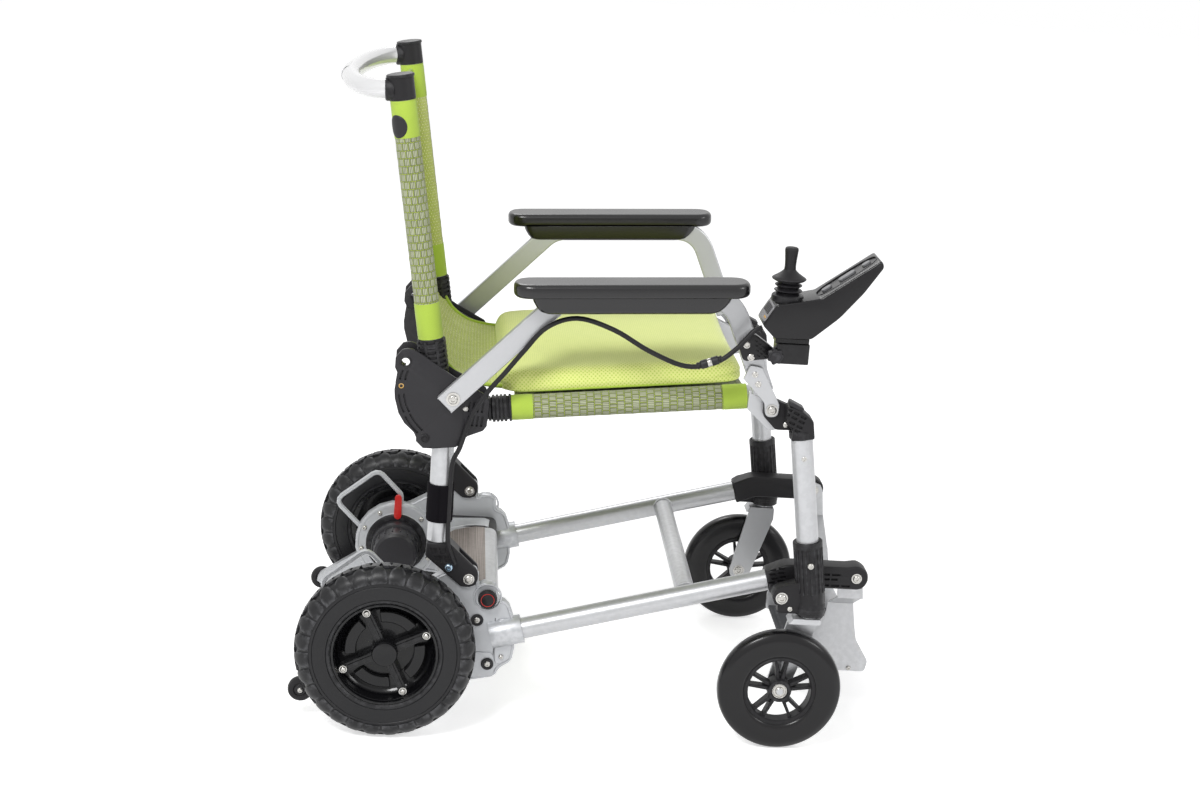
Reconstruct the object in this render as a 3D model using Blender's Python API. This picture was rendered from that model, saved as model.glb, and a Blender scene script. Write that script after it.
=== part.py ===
"""Folding power wheelchair: an aluminium frame that folds forward as a parallelogram.

Metres, +Z up. The chair faces +X and its right-hand side is -Y. While it is modelled,
X is counted from the rear axle; the empty "chair" then moves everything so that the
origin lies on the floor, under the middle of the chair.
"""

import math

import bmesh
import bpy
from mathutils import Matrix, Vector

# Wheels and axles
DRIVE_TYRE_R = 0.127
DRIVE_TYRE_W = 0.050
DRIVE_TYRE_BORE_R = 0.0745
DRIVE_WHEEL_Y = 0.271
DRIVE_RIM_W = 0.044
DRIVE_HUB_R = 0.019
DRIVE_SHAFT_R = 0.008
DRIVE_SPOKES = 4
DRIVE_SPOKE_W = 0.015
CASTER_TYRE_R = 0.089
CASTER_TYRE_W = 0.030
CASTER_RIM_R = 0.052
CASTER_HUB_R = 0.016
CASTER_AXLE_R = 0.005
CASTER_WHEEL_Y = 0.256
CASTER_SPOKE_PAIRS = 5
CASTER_TRAIL = 0.034
WHEEL_BASE = 0.556
TIP_WHEEL_R = 0.018
TIP_WHEEL_W = 0.014
TIP_WHEEL_X = -0.117
TIP_WHEEL_Z = 0.044
TIP_WHEEL_Y = 0.228
DRIVE_SIDES = 24
CASTER_SIDES = 20
TUBE_SIDES = 12
MOTOR_SIDES = 14

# Tubes
RUNNING_GAP = 0.0003
TUBE_WALL = 0.0020
LOWER_TUBE_R = 0.0150
LOWER_TUBE_Y = 0.2063
LOWER_TUBE_REAR_X = 0.150
LOWER_TUBE_REAR_Z = 0.1304
LOWER_TUBE_SLOPE = 0.2653
CROSS_TUBE_X = 0.420
CROSS_TUBE_R = 0.0140
FRAME_TUBE_R = 0.0157
FRAME_TUBE_Y = 0.202
FRONT_LEG_R = 0.0153
FRONT_LEG_Y = 0.251
FRONT_LEG_TILT = math.radians(8.6)
HANDLE_R = 0.0130

# The folding parallelogram: every link from the rear to the front is LINK long
LINK = Vector((0.436, 0.010))
SEAT_PIVOT = Vector((0.093, 0.464))
ARM_PIVOT = Vector((0.075, 0.481))
LEG_PIVOT = Vector((0.111, 0.215))
PIVOT_PIN_R = 0.0050
PIVOT_CLEARANCE = 0.0004

# Axle casting and drive unit
CASTING_IN_Y = 0.1940
CASTING_OUT_Y = 0.2100
FLANGE_R = 0.0650
FLANGE_IN_Y = 0.1780
MOTOR_R = 0.0390
MOTOR_IN_Y = 0.1200
SOCKET_WALL = 0.0055
SOCKET_LENGTH = 0.042
FRONT_TUBE_X = 0.532
GUARD_R = 0.0040
KNOB_R = 0.0135
KNOB_X = 0.139
KNOB_Z = 0.187
KNOB_PIN_R = 0.0040
BATTERY_X = 0.1090
BATTERY_LENGTH = 0.0850
BATTERY_WIDTH = 0.3700
BATTERY_BOTTOM_Z = 0.085
BATTERY_TOP_Z = 0.1750
BATTERY_CAP = 0.0550
BATTERY_BOLTS = ((0.098, 0.104), (0.128, 0.148))
LEVER_PIVOT = (0.0, 0.1725)
LEVER_PIN_R = 0.0025

# Rear legs, hinge plates and backrest
LEG_TUBE_X = 0.065
LEG_TUBE_BOTTOM_Z = 0.2665
LEG_TUBE_TOP_Z = 0.440
FOOT_CHEEK = 0.0072
PLATE_IN_Y = 0.1800
PLATE_OUT_Y = 0.2240
PLATE_THICKNESS = 0.0045
PLATE_HOLE = (0.0065, 0.5260)
POST_FOOT = Vector((0.0405, 0.555))
POST_HEAD = Vector((-0.0160, 0.900))
POST_BOTTOM_Z = 0.505
POST_SOCKET_R = 0.0182
POST_SOCKET_TOP_Z = 0.5560
POST_TOP_Z = 0.8960
CAP_R = 0.0173
CAP_OVER_POST = 0.0170
CAP_HEAD = 0.0200
CAP_BOTTOM_Z = POST_TOP_Z - CAP_OVER_POST
CAP_TOP_Z = POST_TOP_Z + CAP_HEAD
HANDLE_BACK_X = -0.092
HANDLE_BEND_R = 0.062
HANDLE_BELOW_POST = 0.0030
HANDLE_FALL = 0.0090
HANDLE_END_Z = POST_TOP_Z - HANDLE_BELOW_POST
HANDLE_BACK_Z = HANDLE_END_Z - HANDLE_FALL
SLING_THICKNESS = 0.0030
SLING_SAG = 0.022

# Seat
RAIL_REAR = Vector((0.156, 0.4636))
RAIL_FRONT = Vector((0.481, 0.4982))
RAIL_SOCKET_R = 0.0190
RAIL_TUBE_REAR_X = 0.1412
SEAT_BRACKET_OUT_Y = 0.2255
CUSHION_THICKNESS = 0.027
CUSHION_WIDTH = 0.396
CUSHION_CROWN = 0.006

# Armrests
ARM_IN_Y = 0.2275
ARM_OUT_Y = 0.2400
ARM_DEPTH = 0.0300
ARM_REAR_END = Vector((0.0637, 0.4710))
ARM_RISE = math.radians(46.0)
ARM_TOP_REAR_Z = 0.6300
ARM_TOP_SLOPE = math.radians(3.4)
ARM_FRONT_END = Vector((0.498, 0.515))
ARM_DROP = math.radians(67.0)
ARM_BEND_R = 0.050
ARM_BRACKET_T = 0.0040
PAD_REAR_X = 0.147
PAD_LENGTH = 0.317
PAD_TOP_REAR_Z = 0.653
PAD_IN_Y = 0.2245
PAD_OUT_Y = 0.2845
PAD_SLAB_T = 0.020
PAD_BODY_T = 0.021

# Front legs, casters and front arms
KNUCKLE_IN_Y = 0.2262
LEG_TOP_Z = 0.4570
LEG_BOTTOM_Z = 0.2400
SLEEVE_R = 0.0200
SLEEVE_TOP_Z = 0.3080
SLEEVE_BOTTOM_Z = 0.2220
COLLAR_R = 0.0210
COLLAR_BOTTOM_Z = 0.2000
EAR_IN_Y = 0.2405
EAR_OUT_Y = 0.2620
STEM_R = 0.0060
STEM_TOP_Z = 0.2320
CROWN_T = 0.0080
CROWN_BOTTOM_Z = 0.1885
FORK_T = 0.0050
FRONT_ARM_IN_Y = 0.1905
FRONT_ARM_OUT_Y = 0.2220
FRONT_ARM_END = Vector((0.6576, 0.2450))
FRONT_ARM_R = 0.0172

# Footrest
FOOT_PLATE_UPPER_Y = 0.1870
FOOT_PLATE_LOWER_Y = 0.1210
FOOT_PLATE_T = 0.0035
FOOTBOARD_REAR_X = 0.588
FOOTBOARD_FRONT_X = 0.702
FOOTBOARD_Z = 0.066
FOOTBOARD_T = 0.006

# Controller, on the right armrest
CONTROLLER_Y = 0.2570
CONTROLLER_W = 0.0620
JOYSTICK = Vector((0.5155, 0.6445))
STICK_PIN_R = 0.0015
# Each key: its place along the sloping panel, its length and its width
BUTTONS = {"power_button": (0.014, 0.015, 0.011), "speed_rocker": (0.046, 0.026, 0.013),
           "horn_button": (0.076, 0.013, 0.011)}
BUTTON_TRAVEL = 0.0012
CABLE_R = 0.0034
ARM_CABLE = [(0.4834, -0.268, 0.6120), (0.4720, -0.270, 0.6060), (0.4520, -0.271, 0.5820), (0.4250, -0.271, 0.5610),
             (0.3850, -0.270, 0.5530), (0.3350, -0.267, 0.5700), (0.2850, -0.264, 0.5960), (0.2350, -0.262, 0.6075),
             (0.1950, -0.254, 0.5900), (0.1660, -0.2455, 0.5540), (0.1430, -0.2442, 0.5230),
             (0.1220, -0.2442, 0.4960), (0.1060, -0.2442, 0.4740)]
ARM_PLUGS = [((0.4330, -0.271, 0.5665), (0.4000, -0.2705, 0.5540), 0.0062)]
LEG_CABLE = [(0.1040, -0.2436, 0.4705), (0.0980, -0.2310, 0.4500), (0.0930, -0.2281, 0.4280), (0.0875, -0.2268, 0.4080),
             (0.0790, -0.2186, 0.3830), (0.0777, -0.2173, 0.3400), (0.0777, -0.2178, 0.2980), (0.0790, -0.2220, 0.2680),
             (0.0850, -0.2220, 0.2490), (0.0900, -0.2220, 0.2380)]

DRIVE_AXLE_Z = DRIVE_TYRE_R * math.cos(math.pi / DRIVE_SIDES)
CASTER_AXLE_Z = CASTER_TYRE_R * math.cos(math.pi / CASTER_SIDES)
STEM_X = WHEEL_BASE + CASTER_TRAIL
LEG_FRONT_PIVOT = LEG_PIVOT + LINK
SEAT_FRONT_PIVOT = SEAT_PIVOT + LINK
ARM_FRONT_PIVOT = ARM_PIVOT + LINK
REAR_X = TIP_WHEEL_X - TIP_WHEEL_R
FRONT_X = FOOTBOARD_FRONT_X + 0.005
CENTRE_X = (REAR_X + FRONT_X) / 2

for old in list(bpy.data.objects):
    bpy.data.objects.remove(old, do_unlink=True)

COLOURS = {
    "silver": ((0.62, 0.63, 0.65), 0.32, 0.85),
    "cast aluminium": ((0.50, 0.51, 0.53), 0.45, 0.80),
    "white silver": ((0.80, 0.81, 0.83), 0.22, 0.30),
    "black plastic": ((0.020, 0.020, 0.022), 0.50, 0.0),
    "black rubber": ((0.028, 0.028, 0.030), 0.70, 0.0),
    "black paint": ((0.015, 0.015, 0.016), 0.35, 0.2),
    "lime fabric": ((0.45, 0.68, 0.05), 0.85, 0.0),
    "battery case": ((0.13, 0.12, 0.115), 0.35, 0.6),
    "red plastic": ((0.75, 0.03, 0.02), 0.40, 0.0),
    "dark grey": ((0.10, 0.10, 0.105), 0.60, 0.0),
}


def make_material(name):
    colour, roughness, metallic = COLOURS[name]
    material = bpy.data.materials.get(name)
    if material is None:
        material = bpy.data.materials.new(name)
        material.use_nodes = True
        shader = material.node_tree.nodes["Principled BSDF"]
        shader.inputs["Base Color"].default_value = (*colour, 1.0)
        shader.inputs["Roughness"].default_value = roughness
        shader.inputs["Metallic"].default_value = metallic
    return material


def add_object(name, bm):
    """Turn a closed bmesh into an object with its faces pointing out."""
    bmesh.ops.recalc_face_normals(bm, faces=bm.faces)
    mesh = bpy.data.meshes.new(name)
    bm.to_mesh(mesh)
    bm.free()
    mesh.shade_smooth()
    mesh.set_sharp_from_angle(angle=math.radians(35))
    obj = bpy.data.objects.new(name, mesh)
    bpy.context.scene.collection.objects.link(obj)
    return obj


def rounded(corners, steps=2):
    """An outline from corners (x, z, radius): each corner becomes an arc of that radius."""
    outline = []
    for i, (x, z, radius) in enumerate(corners):
        here = Vector((x, z))
        before = Vector(corners[i - 1][:2])
        after = Vector(corners[(i + 1) % len(corners)][:2])
        if radius <= 0:
            outline.append(here)
            continue
        back, ahead = (before - here).normalized(), (after - here).normalized()
        half = back.angle(ahead) / 2
        reach = min(radius / math.tan(half), 0.49 * (before - here).length, 0.49 * (after - here).length)
        radius = reach * math.tan(half)
        centre = here + (back + ahead).normalized() * (radius / math.sin(half))
        first, last = here + back * reach - centre, here + ahead * reach - centre
        turn = first.angle_signed(last)
        for k in range(steps + 1):
            outline.append(centre + Matrix.Rotation(-turn * k / steps, 2) @ first)
    return outline


def slab(name, outline, y_low, y_high):
    """An X-Z outline extruded across Y."""
    bm = bmesh.new()
    face = bm.faces.new([bm.verts.new((p[0], y_low, p[1])) for p in outline])
    grown = bmesh.ops.extrude_face_region(bm, geom=[face])
    verts = [v for v in grown["geom"] if isinstance(v, bmesh.types.BMVert)]
    bmesh.ops.translate(bm, vec=(0, y_high - y_low, 0), verts=verts)
    return add_object(name, bm)


def side_slab(name, outline, side, y_in, y_out):
    """A slab on one side of the chair, between two distances from the middle plane."""
    return slab(name, outline, min(side * y_in, side * y_out), max(side * y_in, side * y_out))


def block(name, low, high, bevel=0.0, segments=2):
    """A box between two corners, with rounded edges where a bevel is given."""
    bm = bmesh.new()
    bmesh.ops.create_cube(bm, size=1.0)
    size = [b - a for a, b in zip(low, high)]
    middle = [(a + b) / 2 for a, b in zip(low, high)]
    bmesh.ops.scale(bm, vec=size, verts=bm.verts)
    bmesh.ops.translate(bm, vec=middle, verts=bm.verts)
    if bevel:
        bmesh.ops.bevel(bm, geom=bm.edges, offset=bevel, segments=segments, profile=0.5,
                        affect="EDGES", material=-1)
    return add_object(name, bm)


def frame_along(direction):
    """A rotation that turns +Z to a direction."""
    return Vector((0, 0, 1)).rotation_difference(Vector(direction)).to_matrix()


def turned(name, profile, base, direction, sides, start=0.5):
    """A profile of (height, radius) points turned about the axis that runs from base along direction.

    A profile that starts and ends on the axis closes itself; any other is a closed ring.
    """
    bm = bmesh.new()
    verts = [bm.verts.new((radius, 0, height)) for height, radius in profile]
    closed = profile[0][1] > 0 and profile[-1][1] > 0
    edges = [bm.edges.new(pair) for pair in zip(verts, verts[1:])]
    if closed:
        edges.append(bm.edges.new((verts[-1], verts[0])))
    bmesh.ops.rotate(bm, verts=bm.verts, cent=(0, 0, 0),
                     matrix=Matrix.Rotation(start * 2 * math.pi / sides, 3, "Z"))
    bmesh.ops.spin(bm, geom=bm.verts[:] + bm.edges[:], cent=(0, 0, 0), axis=(0, 0, 1),
                   angle=2 * math.pi, steps=sides, use_merge=True)
    bmesh.ops.remove_doubles(bm, verts=bm.verts, dist=1e-6)
    bmesh.ops.rotate(bm, verts=bm.verts, cent=(0, 0, 0), matrix=frame_along(direction))
    bmesh.ops.translate(bm, vec=base, verts=bm.verts)
    return add_object(name, bm)


def rod(name, start, end, radius, sides=16, phase=0.5):
    """A solid round bar between two points."""
    start, end = Vector(start), Vector(end)
    length = (end - start).length
    return turned(name, [(0, 0), (0, radius), (length, radius), (length, 0)], start, end - start,
                  sides, phase)


def pipe(name, start, end, radius, wall=TUBE_WALL, sides=TUBE_SIDES):
    """A straight tube with open ends."""
    start, end = Vector(start), Vector(end)
    length = (end - start).length
    ring = [(0, radius - wall), (0, radius), (length, radius), (length, radius - wall)]
    return turned(name, ring, start, end - start, sides)


def cross_rod(name, centre, side, y_in, y_out, radius, sides=16):
    """A round bar across the chair at an X-Z place."""
    return rod(name, (centre[0], side * y_in, centre[1]), (centre[0], side * y_out, centre[1]),
               radius, sides)


def bore_rod(name, centre, side, y_in, y_out, radius, sides=16):
    """A cutter across the chair whose flats, not its corners, lie at a radius."""
    return cross_rod(name, centre, side, y_in, y_out, radius / math.cos(math.pi / sides), sides)


def bent_bar(name, points, radius, resolution=1):
    """A round bar along a row of points, as a mesh."""
    curve = bpy.data.curves.new(name, "CURVE")
    curve.dimensions = "3D"
    curve.bevel_depth = radius
    curve.bevel_resolution = resolution
    curve.use_fill_caps = True
    spline = curve.splines.new("POLY")
    spline.points.add(len(points) - 1)
    for place, point in zip(spline.points, points):
        place.co = (*point, 1.0)
    guide = bpy.data.objects.new(name + " line", curve)
    bpy.context.scene.collection.objects.link(guide)
    mesh = bpy.data.meshes.new_from_object(guide.evaluated_get(bpy.context.evaluated_depsgraph_get()))
    bpy.data.objects.remove(guide, do_unlink=True)
    bm = bmesh.new()
    bm.from_mesh(mesh)
    bpy.data.meshes.remove(mesh)
    bmesh.ops.remove_doubles(bm, verts=bm.verts, dist=1e-6)
    return add_object(name, bm)


def arc_path(points, radius, steps=4):
    """A path of 3-D points with every inner corner rounded."""
    path = [Vector(points[0])]
    for before, here, after in zip(points, points[1:], points[2:]):
        before, here, after = Vector(before), Vector(here), Vector(after)
        back, ahead = (before - here).normalized(), (after - here).normalized()
        half = back.angle(ahead) / 2
        reach = min(radius / math.tan(half), 0.49 * (before - here).length, 0.49 * (after - here).length)
        bend = reach * math.tan(half)
        centre = here + (back + ahead).normalized() * (bend / math.sin(half))
        first, last = here + back * reach - centre, here + ahead * reach - centre
        turn = first.rotation_difference(last)
        for k in range(steps + 1):
            path.append(centre + Matrix.Rotation(turn.angle * k / steps, 3, turn.axis) @ first)
    path.append(Vector(points[-1]))
    return path


def smooth_route(points, per_span=4):
    """Points read from a smooth curve through a route's own points."""
    knots = [Vector(p) for p in points]
    ends = [2 * knots[0] - knots[1]] + knots + [2 * knots[-1] - knots[-2]]
    route = []
    for a, b, c, d in zip(ends, ends[1:], ends[2:], ends[3:]):
        for k in range(per_span):
            t = k / per_span
            route.append(0.5 * (2 * b + (c - a) * t + (2 * a - 5 * b + 4 * c - d) * t * t
                                + (3 * b - a - 3 * c + d) * t ** 3))
    route.append(knots[-1])
    return route


def combine(obj, tool, operation):
    """Add or take away another solid, which is left out of the finished model."""
    step = obj.modifiers.new(operation.lower(), "BOOLEAN")
    step.operation = operation
    step.solver = "EXACT"
    step.object = tool
    tool.hide_render = True
    tool.display_type = "WIRE"
    return obj


def join(obj, *tools):
    for tool in tools:
        combine(obj, tool, "UNION")
    return obj


def cut(obj, *tools):
    for tool in tools:
        combine(obj, tool, "DIFFERENCE")
    return obj


def soften(obj, width, segments=1, angle=40):
    """Break the sharp edges."""
    step = obj.modifiers.new("edges", "BEVEL")
    step.width = width
    step.segments = segments
    step.limit_method = "ANGLE"
    step.angle_limit = math.radians(angle)
    step.use_clamp_overlap = True
    return obj


def empty(name, place, parent=None):
    """An empty on a joint's axis, which carries the pieces that move with it."""
    axis = bpy.data.objects.new(name, None)
    axis.empty_display_size = 0.03
    bpy.context.scene.collection.objects.link(axis)
    axis["place"] = list(place)
    if parent is None:
        axis.location = place
    else:
        axis.parent = parent
        axis.location = Vector(place) - Vector(parent["place"])
    return axis


def carry(obj, body):
    """Hang an object, and the tools it is cut with, on a body's empty."""
    obj.parent = body
    obj.location = -Vector(body["place"])
    for step in obj.modifiers:
        if step.type == "BOOLEAN" and step.object.parent is None:
            carry(step.object, body)


def fit(obj, body, material):
    """Finish a piece: its material, and the empty that it moves with."""
    obj.data.materials.clear()
    obj.data.materials.append(make_material(material))
    carry(obj, body)
    return obj


def side_name(side):
    return "right" if side < 0 else "left"


def at(point, y):
    """An X-Z point at a distance across the chair."""
    return Vector((point[0], y, point[1]))


def lower_tube_point(x):
    return Vector((x, LOWER_TUBE_REAR_Z + (x - LOWER_TUBE_REAR_X) * LOWER_TUBE_SLOPE))


def rail_point(x):
    slope = (RAIL_FRONT - RAIL_REAR)
    return RAIL_REAR + slope * ((x - RAIL_REAR[0]) / slope[0])


def post_point(z):
    run = POST_HEAD - POST_FOOT
    return POST_FOOT + run * ((z - POST_FOOT[1]) / run[1])


def leg_point(z):
    """The centre line of the front leg, which leans forward at its foot."""
    return Vector((STEM_X - (z - SLEEVE_BOTTOM_Z) * math.tan(FRONT_LEG_TILT), z))


def make_base_frame(body):
    """Two lower tubes welded to a cross tube."""
    def lower_bar(side, radius, spare):
        start, end = lower_tube_point(LOWER_TUBE_REAR_X), lower_tube_point(FRONT_TUBE_X)
        run = (end - start).normalized() * spare
        return rod("lower bar " + side_name(side), at(start - run, side * LOWER_TUBE_Y),
                   at(end + run, side * LOWER_TUBE_Y), radius, TUBE_SIDES)

    frame = lower_bar(-1, LOWER_TUBE_R, 0)
    frame.name = "base_frame"
    middle = lower_tube_point(CROSS_TUBE_X)
    reach = LOWER_TUBE_Y - 0.0012
    cross = cross_rod("cross tube", middle, 1, -reach, reach, CROSS_TUBE_R, 12)
    join(frame, cross, lower_bar(1, LOWER_TUBE_R, 0))
    for side in (-1, 1):
        cut(frame, lower_bar(side, LOWER_TUBE_R - TUBE_WALL, 0.01))
    return fit(frame, body, "silver")


def casting_outline():
    """The plate behind the drive wheel: axle boss, leg lobe, knob lobe and tube socket."""
    pivot_x, pivot_z = LEG_PIVOT
    return rounded([
        (-0.030, DRIVE_AXLE_Z + 0.040, 0.020), (0.020, DRIVE_AXLE_Z + 0.062, 0.030),
        (pivot_x - 0.016, pivot_z + 0.016, 0.012), (pivot_x + 0.014, pivot_z + 0.015, 0.012),
        (KNOB_X - 0.014, KNOB_Z + 0.014, 0.004), (KNOB_X - 0.010, KNOB_Z + 0.021, 0.010),
        (KNOB_X + 0.016, KNOB_Z + 0.019, 0.012), (KNOB_X + 0.014, KNOB_Z - 0.002, 0.006),
        (KNOB_X + 0.030, KNOB_Z - 0.008, 0.012), (0.177, 0.158, 0.010), (0.181, 0.112, 0.012),
        (0.178, 0.092, 0.010), (0.160, 0.080, 0.012), (0.156, 0.068, 0.008),
        (0.118, 0.060, 0.010), (0.060, 0.074, 0.020), (-0.030, DRIVE_AXLE_Z - 0.046, 0.020),
    ], 1)


def make_casting(side, body):
    """Cast axle plate with the gearbox flange, the tube socket, the guard loop and the anti-tip arm."""
    casting = side_slab("axle_casting_" + side_name(side), casting_outline(), side,
                        CASTING_IN_Y, CASTING_OUT_Y)
    axle = (0.0, DRIVE_AXLE_Z)
    hub = cross_rod("hub boss", axle, side, FLANGE_IN_Y + 0.004, CASTING_OUT_Y + 0.024, 0.034, 12)
    flange = cross_rod("flange", axle, side, FLANGE_IN_Y, CASTING_IN_Y + 0.001, FLANGE_R, 20)
    start = at(lower_tube_point(LOWER_TUBE_REAR_X), side * LOWER_TUBE_Y)
    run = (at(lower_tube_point(1.0), side * LOWER_TUBE_Y) - start).normalized()
    socket = rod("tube socket", start - run * 0.004, start + run * SOCKET_LENGTH,
                 LOWER_TUBE_R + SOCKET_WALL, TUBE_SIDES)
    spacers = [cross_rod("spacer", place, side, BATTERY_WIDTH / 2 + RUNNING_GAP,
                         CASTING_IN_Y + 0.002, 0.008, 6) for place in BATTERY_BOLTS]
    flange_y = side * (FLANGE_IN_Y + 0.009)
    loop = [(0.004, flange_y, DRIVE_AXLE_Z + 0.055), (0.004, flange_y, DRIVE_AXLE_Z + 0.078),
            (-0.034, flange_y, DRIVE_AXLE_Z + 0.116), (-0.099, flange_y, DRIVE_AXLE_Z + 0.063),
            (-0.052, flange_y, DRIVE_AXLE_Z + 0.016)]
    guard = bent_bar("guard loop", arc_path(loop, 0.012, 3), GUARD_R, 1)
    tip = (TIP_WHEEL_X, TIP_WHEEL_Z)
    arm = side_slab("anti-tip arm", rounded([
        (-0.022, DRIVE_AXLE_Z - 0.004, 0), (TIP_WHEEL_X - 0.006, TIP_WHEEL_Z + 0.011, 0.009),
        (TIP_WHEEL_X - 0.008, TIP_WHEEL_Z - 0.009, 0.009), (0.004, DRIVE_AXLE_Z - 0.034, 0),
    ], 1), side, CASTING_OUT_Y - 0.002, TIP_WHEEL_Y - TIP_WHEEL_W / 2 - RUNNING_GAP)
    tip_pin = cross_rod("anti-tip pin", tip, side, CASTING_OUT_Y,
                        TIP_WHEEL_Y + TIP_WHEEL_W / 2 + 0.001, PIVOT_PIN_R - 0.001, 8)
    join(casting, hub, flange, socket, guard, arm, tip_pin, *spacers)
    leg_pin = cross_rod("leg pin", LEG_PIVOT, side, CASTING_IN_Y - FOOT_CHEEK, CASTING_OUT_Y + FOOT_CHEEK,
                        PIVOT_PIN_R, 10)
    join(casting, leg_pin)
    knob_bore = bore_rod("knob bore", (KNOB_X, KNOB_Z), side, CASTING_OUT_Y - 0.010, CASTING_OUT_Y + 0.010,
                         KNOB_PIN_R + PIVOT_CLEARANCE, 8)
    lever_bore = bore_rod("lever bore", LEVER_PIVOT, side, FLANGE_IN_Y - 0.01, FLANGE_IN_Y + 0.0085,
                          LEVER_PIN_R + RUNNING_GAP, 6)
    tube_bore = rod("tube bore", start - run * RUNNING_GAP, start + run * 0.08,
                    LOWER_TUBE_R + RUNNING_GAP, TUBE_SIDES)
    flat = math.cos(math.pi / MOTOR_SIDES)
    seat_r, shaft_r = (MOTOR_R + RUNNING_GAP) / flat, (DRIVE_SHAFT_R + RUNNING_GAP) / flat
    through = CASTING_OUT_Y + 0.05 - FLANGE_IN_Y + 0.02
    motor_bore = turned("motor bore", [(0, 0), (0, seat_r), (0.026, seat_r), (0.026, shaft_r), (through, shaft_r),
                                       (through, 0)], at(axle, side * (FLANGE_IN_Y - 0.02)), (0, side, 0), MOTOR_SIDES)
    cut(casting, tube_bore, motor_bore, knob_bore, lever_bore)
    return fit(casting, body, "cast aluminium")


def make_motor(side, body):
    """Gear motor: a round can with a stepped end, and the shaft that carries the wheel."""
    axle = Vector((0, 0, DRIVE_AXLE_Z))
    seat = FLANGE_IN_Y + 0.006 - RUNNING_GAP - MOTOR_IN_Y
    shaft_end = DRIVE_WHEEL_Y + DRIVE_RIM_W / 2 - 0.004 - MOTOR_IN_Y
    profile = [(0, 0), (0, MOTOR_R * 0.78), (0.006, MOTOR_R * 0.90), (0.030, MOTOR_R * 0.90),
               (0.032, MOTOR_R), (seat, MOTOR_R),
               (seat, DRIVE_SHAFT_R), (shaft_end, DRIVE_SHAFT_R), (shaft_end, 0)]
    motor = turned("motor_" + side_name(side), profile, axle + Vector((0, side * MOTOR_IN_Y, 0)),
                   (0, side, 0), MOTOR_SIDES)
    return fit(motor, body, "black paint")


def make_battery(body):
    """Low battery case between the castings: an extruded section with a cap at each end and a finger grip."""
    low = BATTERY_X - BATTERY_LENGTH / 2
    high = BATTERY_X + BATTERY_LENGTH / 2
    half = BATTERY_WIDTH / 2
    def section(inset):
        return rounded([(low + inset, BATTERY_BOTTOM_Z + inset, 0.008), (high - inset, BATTERY_BOTTOM_Z + inset, 0.008),
                        (high - inset, BATTERY_TOP_Z - inset, 0.014), (low + inset, BATTERY_TOP_Z - inset, 0.014)])
    case = slab("battery_box", section(0), -half, half)
    groove = 0.0015
    inner = slab("groove core", section(groove), -half * 2, half * 2)
    for side in (-1, 1):
        seam = side * (half - BATTERY_CAP)
        ring = slab("groove", section(-0.01), seam - 0.0008, seam + 0.0008)
        cut(case, cut(ring, inner))
    grip = slab("grip slot", rounded([(low + 0.017, BATTERY_TOP_Z - 0.006, 0.003), (high - 0.017, BATTERY_TOP_Z - 0.006, 0.003),
                                      (high - 0.017, BATTERY_TOP_Z + 0.01, 0), (low + 0.017, BATTERY_TOP_Z + 0.01, 0)]),
                half - BATTERY_CAP * 0.65, half - BATTERY_CAP * 0.25)
    cut(case, grip)
    return fit(case, body, "battery case")


def make_front_arm(side, body):
    """Slotted moulding on the front of a lower tube, with the leg's pivot and the footrest's pivot."""
    end = lower_tube_point(FRONT_TUBE_X)
    run = (lower_tube_point(1.0) - lower_tube_point(0.0)).normalized()
    across = Vector((-run[1], run[0]))
    root = end + run * RUNNING_GAP
    upper, lower = root + across * 0.0165, root - across * 0.0165
    tip_x, tip_z = FRONT_ARM_END
    arm = side_slab("front_arm_" + side_name(side), rounded([
        (upper[0], upper[1], 0), (lower[0], lower[1], 0), (lower[0] + 0.030, tip_z - 0.0170, 0.03),
        (tip_x + 0.010, tip_z - FRONT_ARM_R, 0.012), (tip_x + FRONT_ARM_R, tip_z - 0.003, 0.014),
        (tip_x + FRONT_ARM_R - 0.002, tip_z + 0.010, 0.010), (tip_x + 0.002, tip_z + FRONT_ARM_R + 0.001, 0.012),
        (tip_x - 0.014, tip_z + 0.0155, 0.01), (upper[0] + 0.028, tip_z + 0.0155, 0.03),
    ]), side, FRONT_ARM_IN_Y, FRONT_ARM_OUT_Y)
    soften(arm, 0.002)
    plug_start = end - run * 0.026
    plug = rod("plug", at(plug_start, side * LOWER_TUBE_Y), at(end + run * 0.006, side * LOWER_TUBE_Y),
               LOWER_TUBE_R - TUBE_WALL - RUNNING_GAP, TUBE_SIDES)
    barrel = cross_rod("leg barrel", LEG_FRONT_PIVOT, side, FRONT_ARM_OUT_Y - 0.002, EAR_IN_Y - RUNNING_GAP,
                       0.0110, 10)
    pin = cross_rod("leg pin", LEG_FRONT_PIVOT, side, FRONT_ARM_OUT_Y, EAR_OUT_Y, PIVOT_PIN_R, 10)
    foot_pin = cross_rod("footrest pin", FRONT_ARM_END, side, FOOT_PLATE_UPPER_Y - FOOT_PLATE_T / 2,
                         FRONT_ARM_IN_Y + 0.002, PIVOT_PIN_R, 10)
    join(arm, plug, barrel, pin, foot_pin)
    first_x, last_x = upper[0] + 0.010, tip_x - 0.022
    rows, columns = 2, 3
    pitch = (last_x - first_x) / columns
    for row in range(rows):
        z = tip_z - 0.0045 + row * 0.0070
        for column in range(columns):
            shift = 0.004 * (row % 2)
            slot = block("slot", (first_x + column * pitch + shift, side * FRONT_ARM_OUT_Y - 0.004, z),
                         (first_x + (column + 1) * pitch - 0.005 + shift, side * FRONT_ARM_OUT_Y + 0.004,
                          z + 0.0032))
            if abs(first_x + (column + 0.5) * pitch - LEG_FRONT_PIVOT[0]) > pitch * 0.55 or row > 1:
                cut(arm, slot)
            else:
                bpy.data.objects.remove(slot, do_unlink=True)
    return fit(arm, body, "black plastic")


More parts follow.
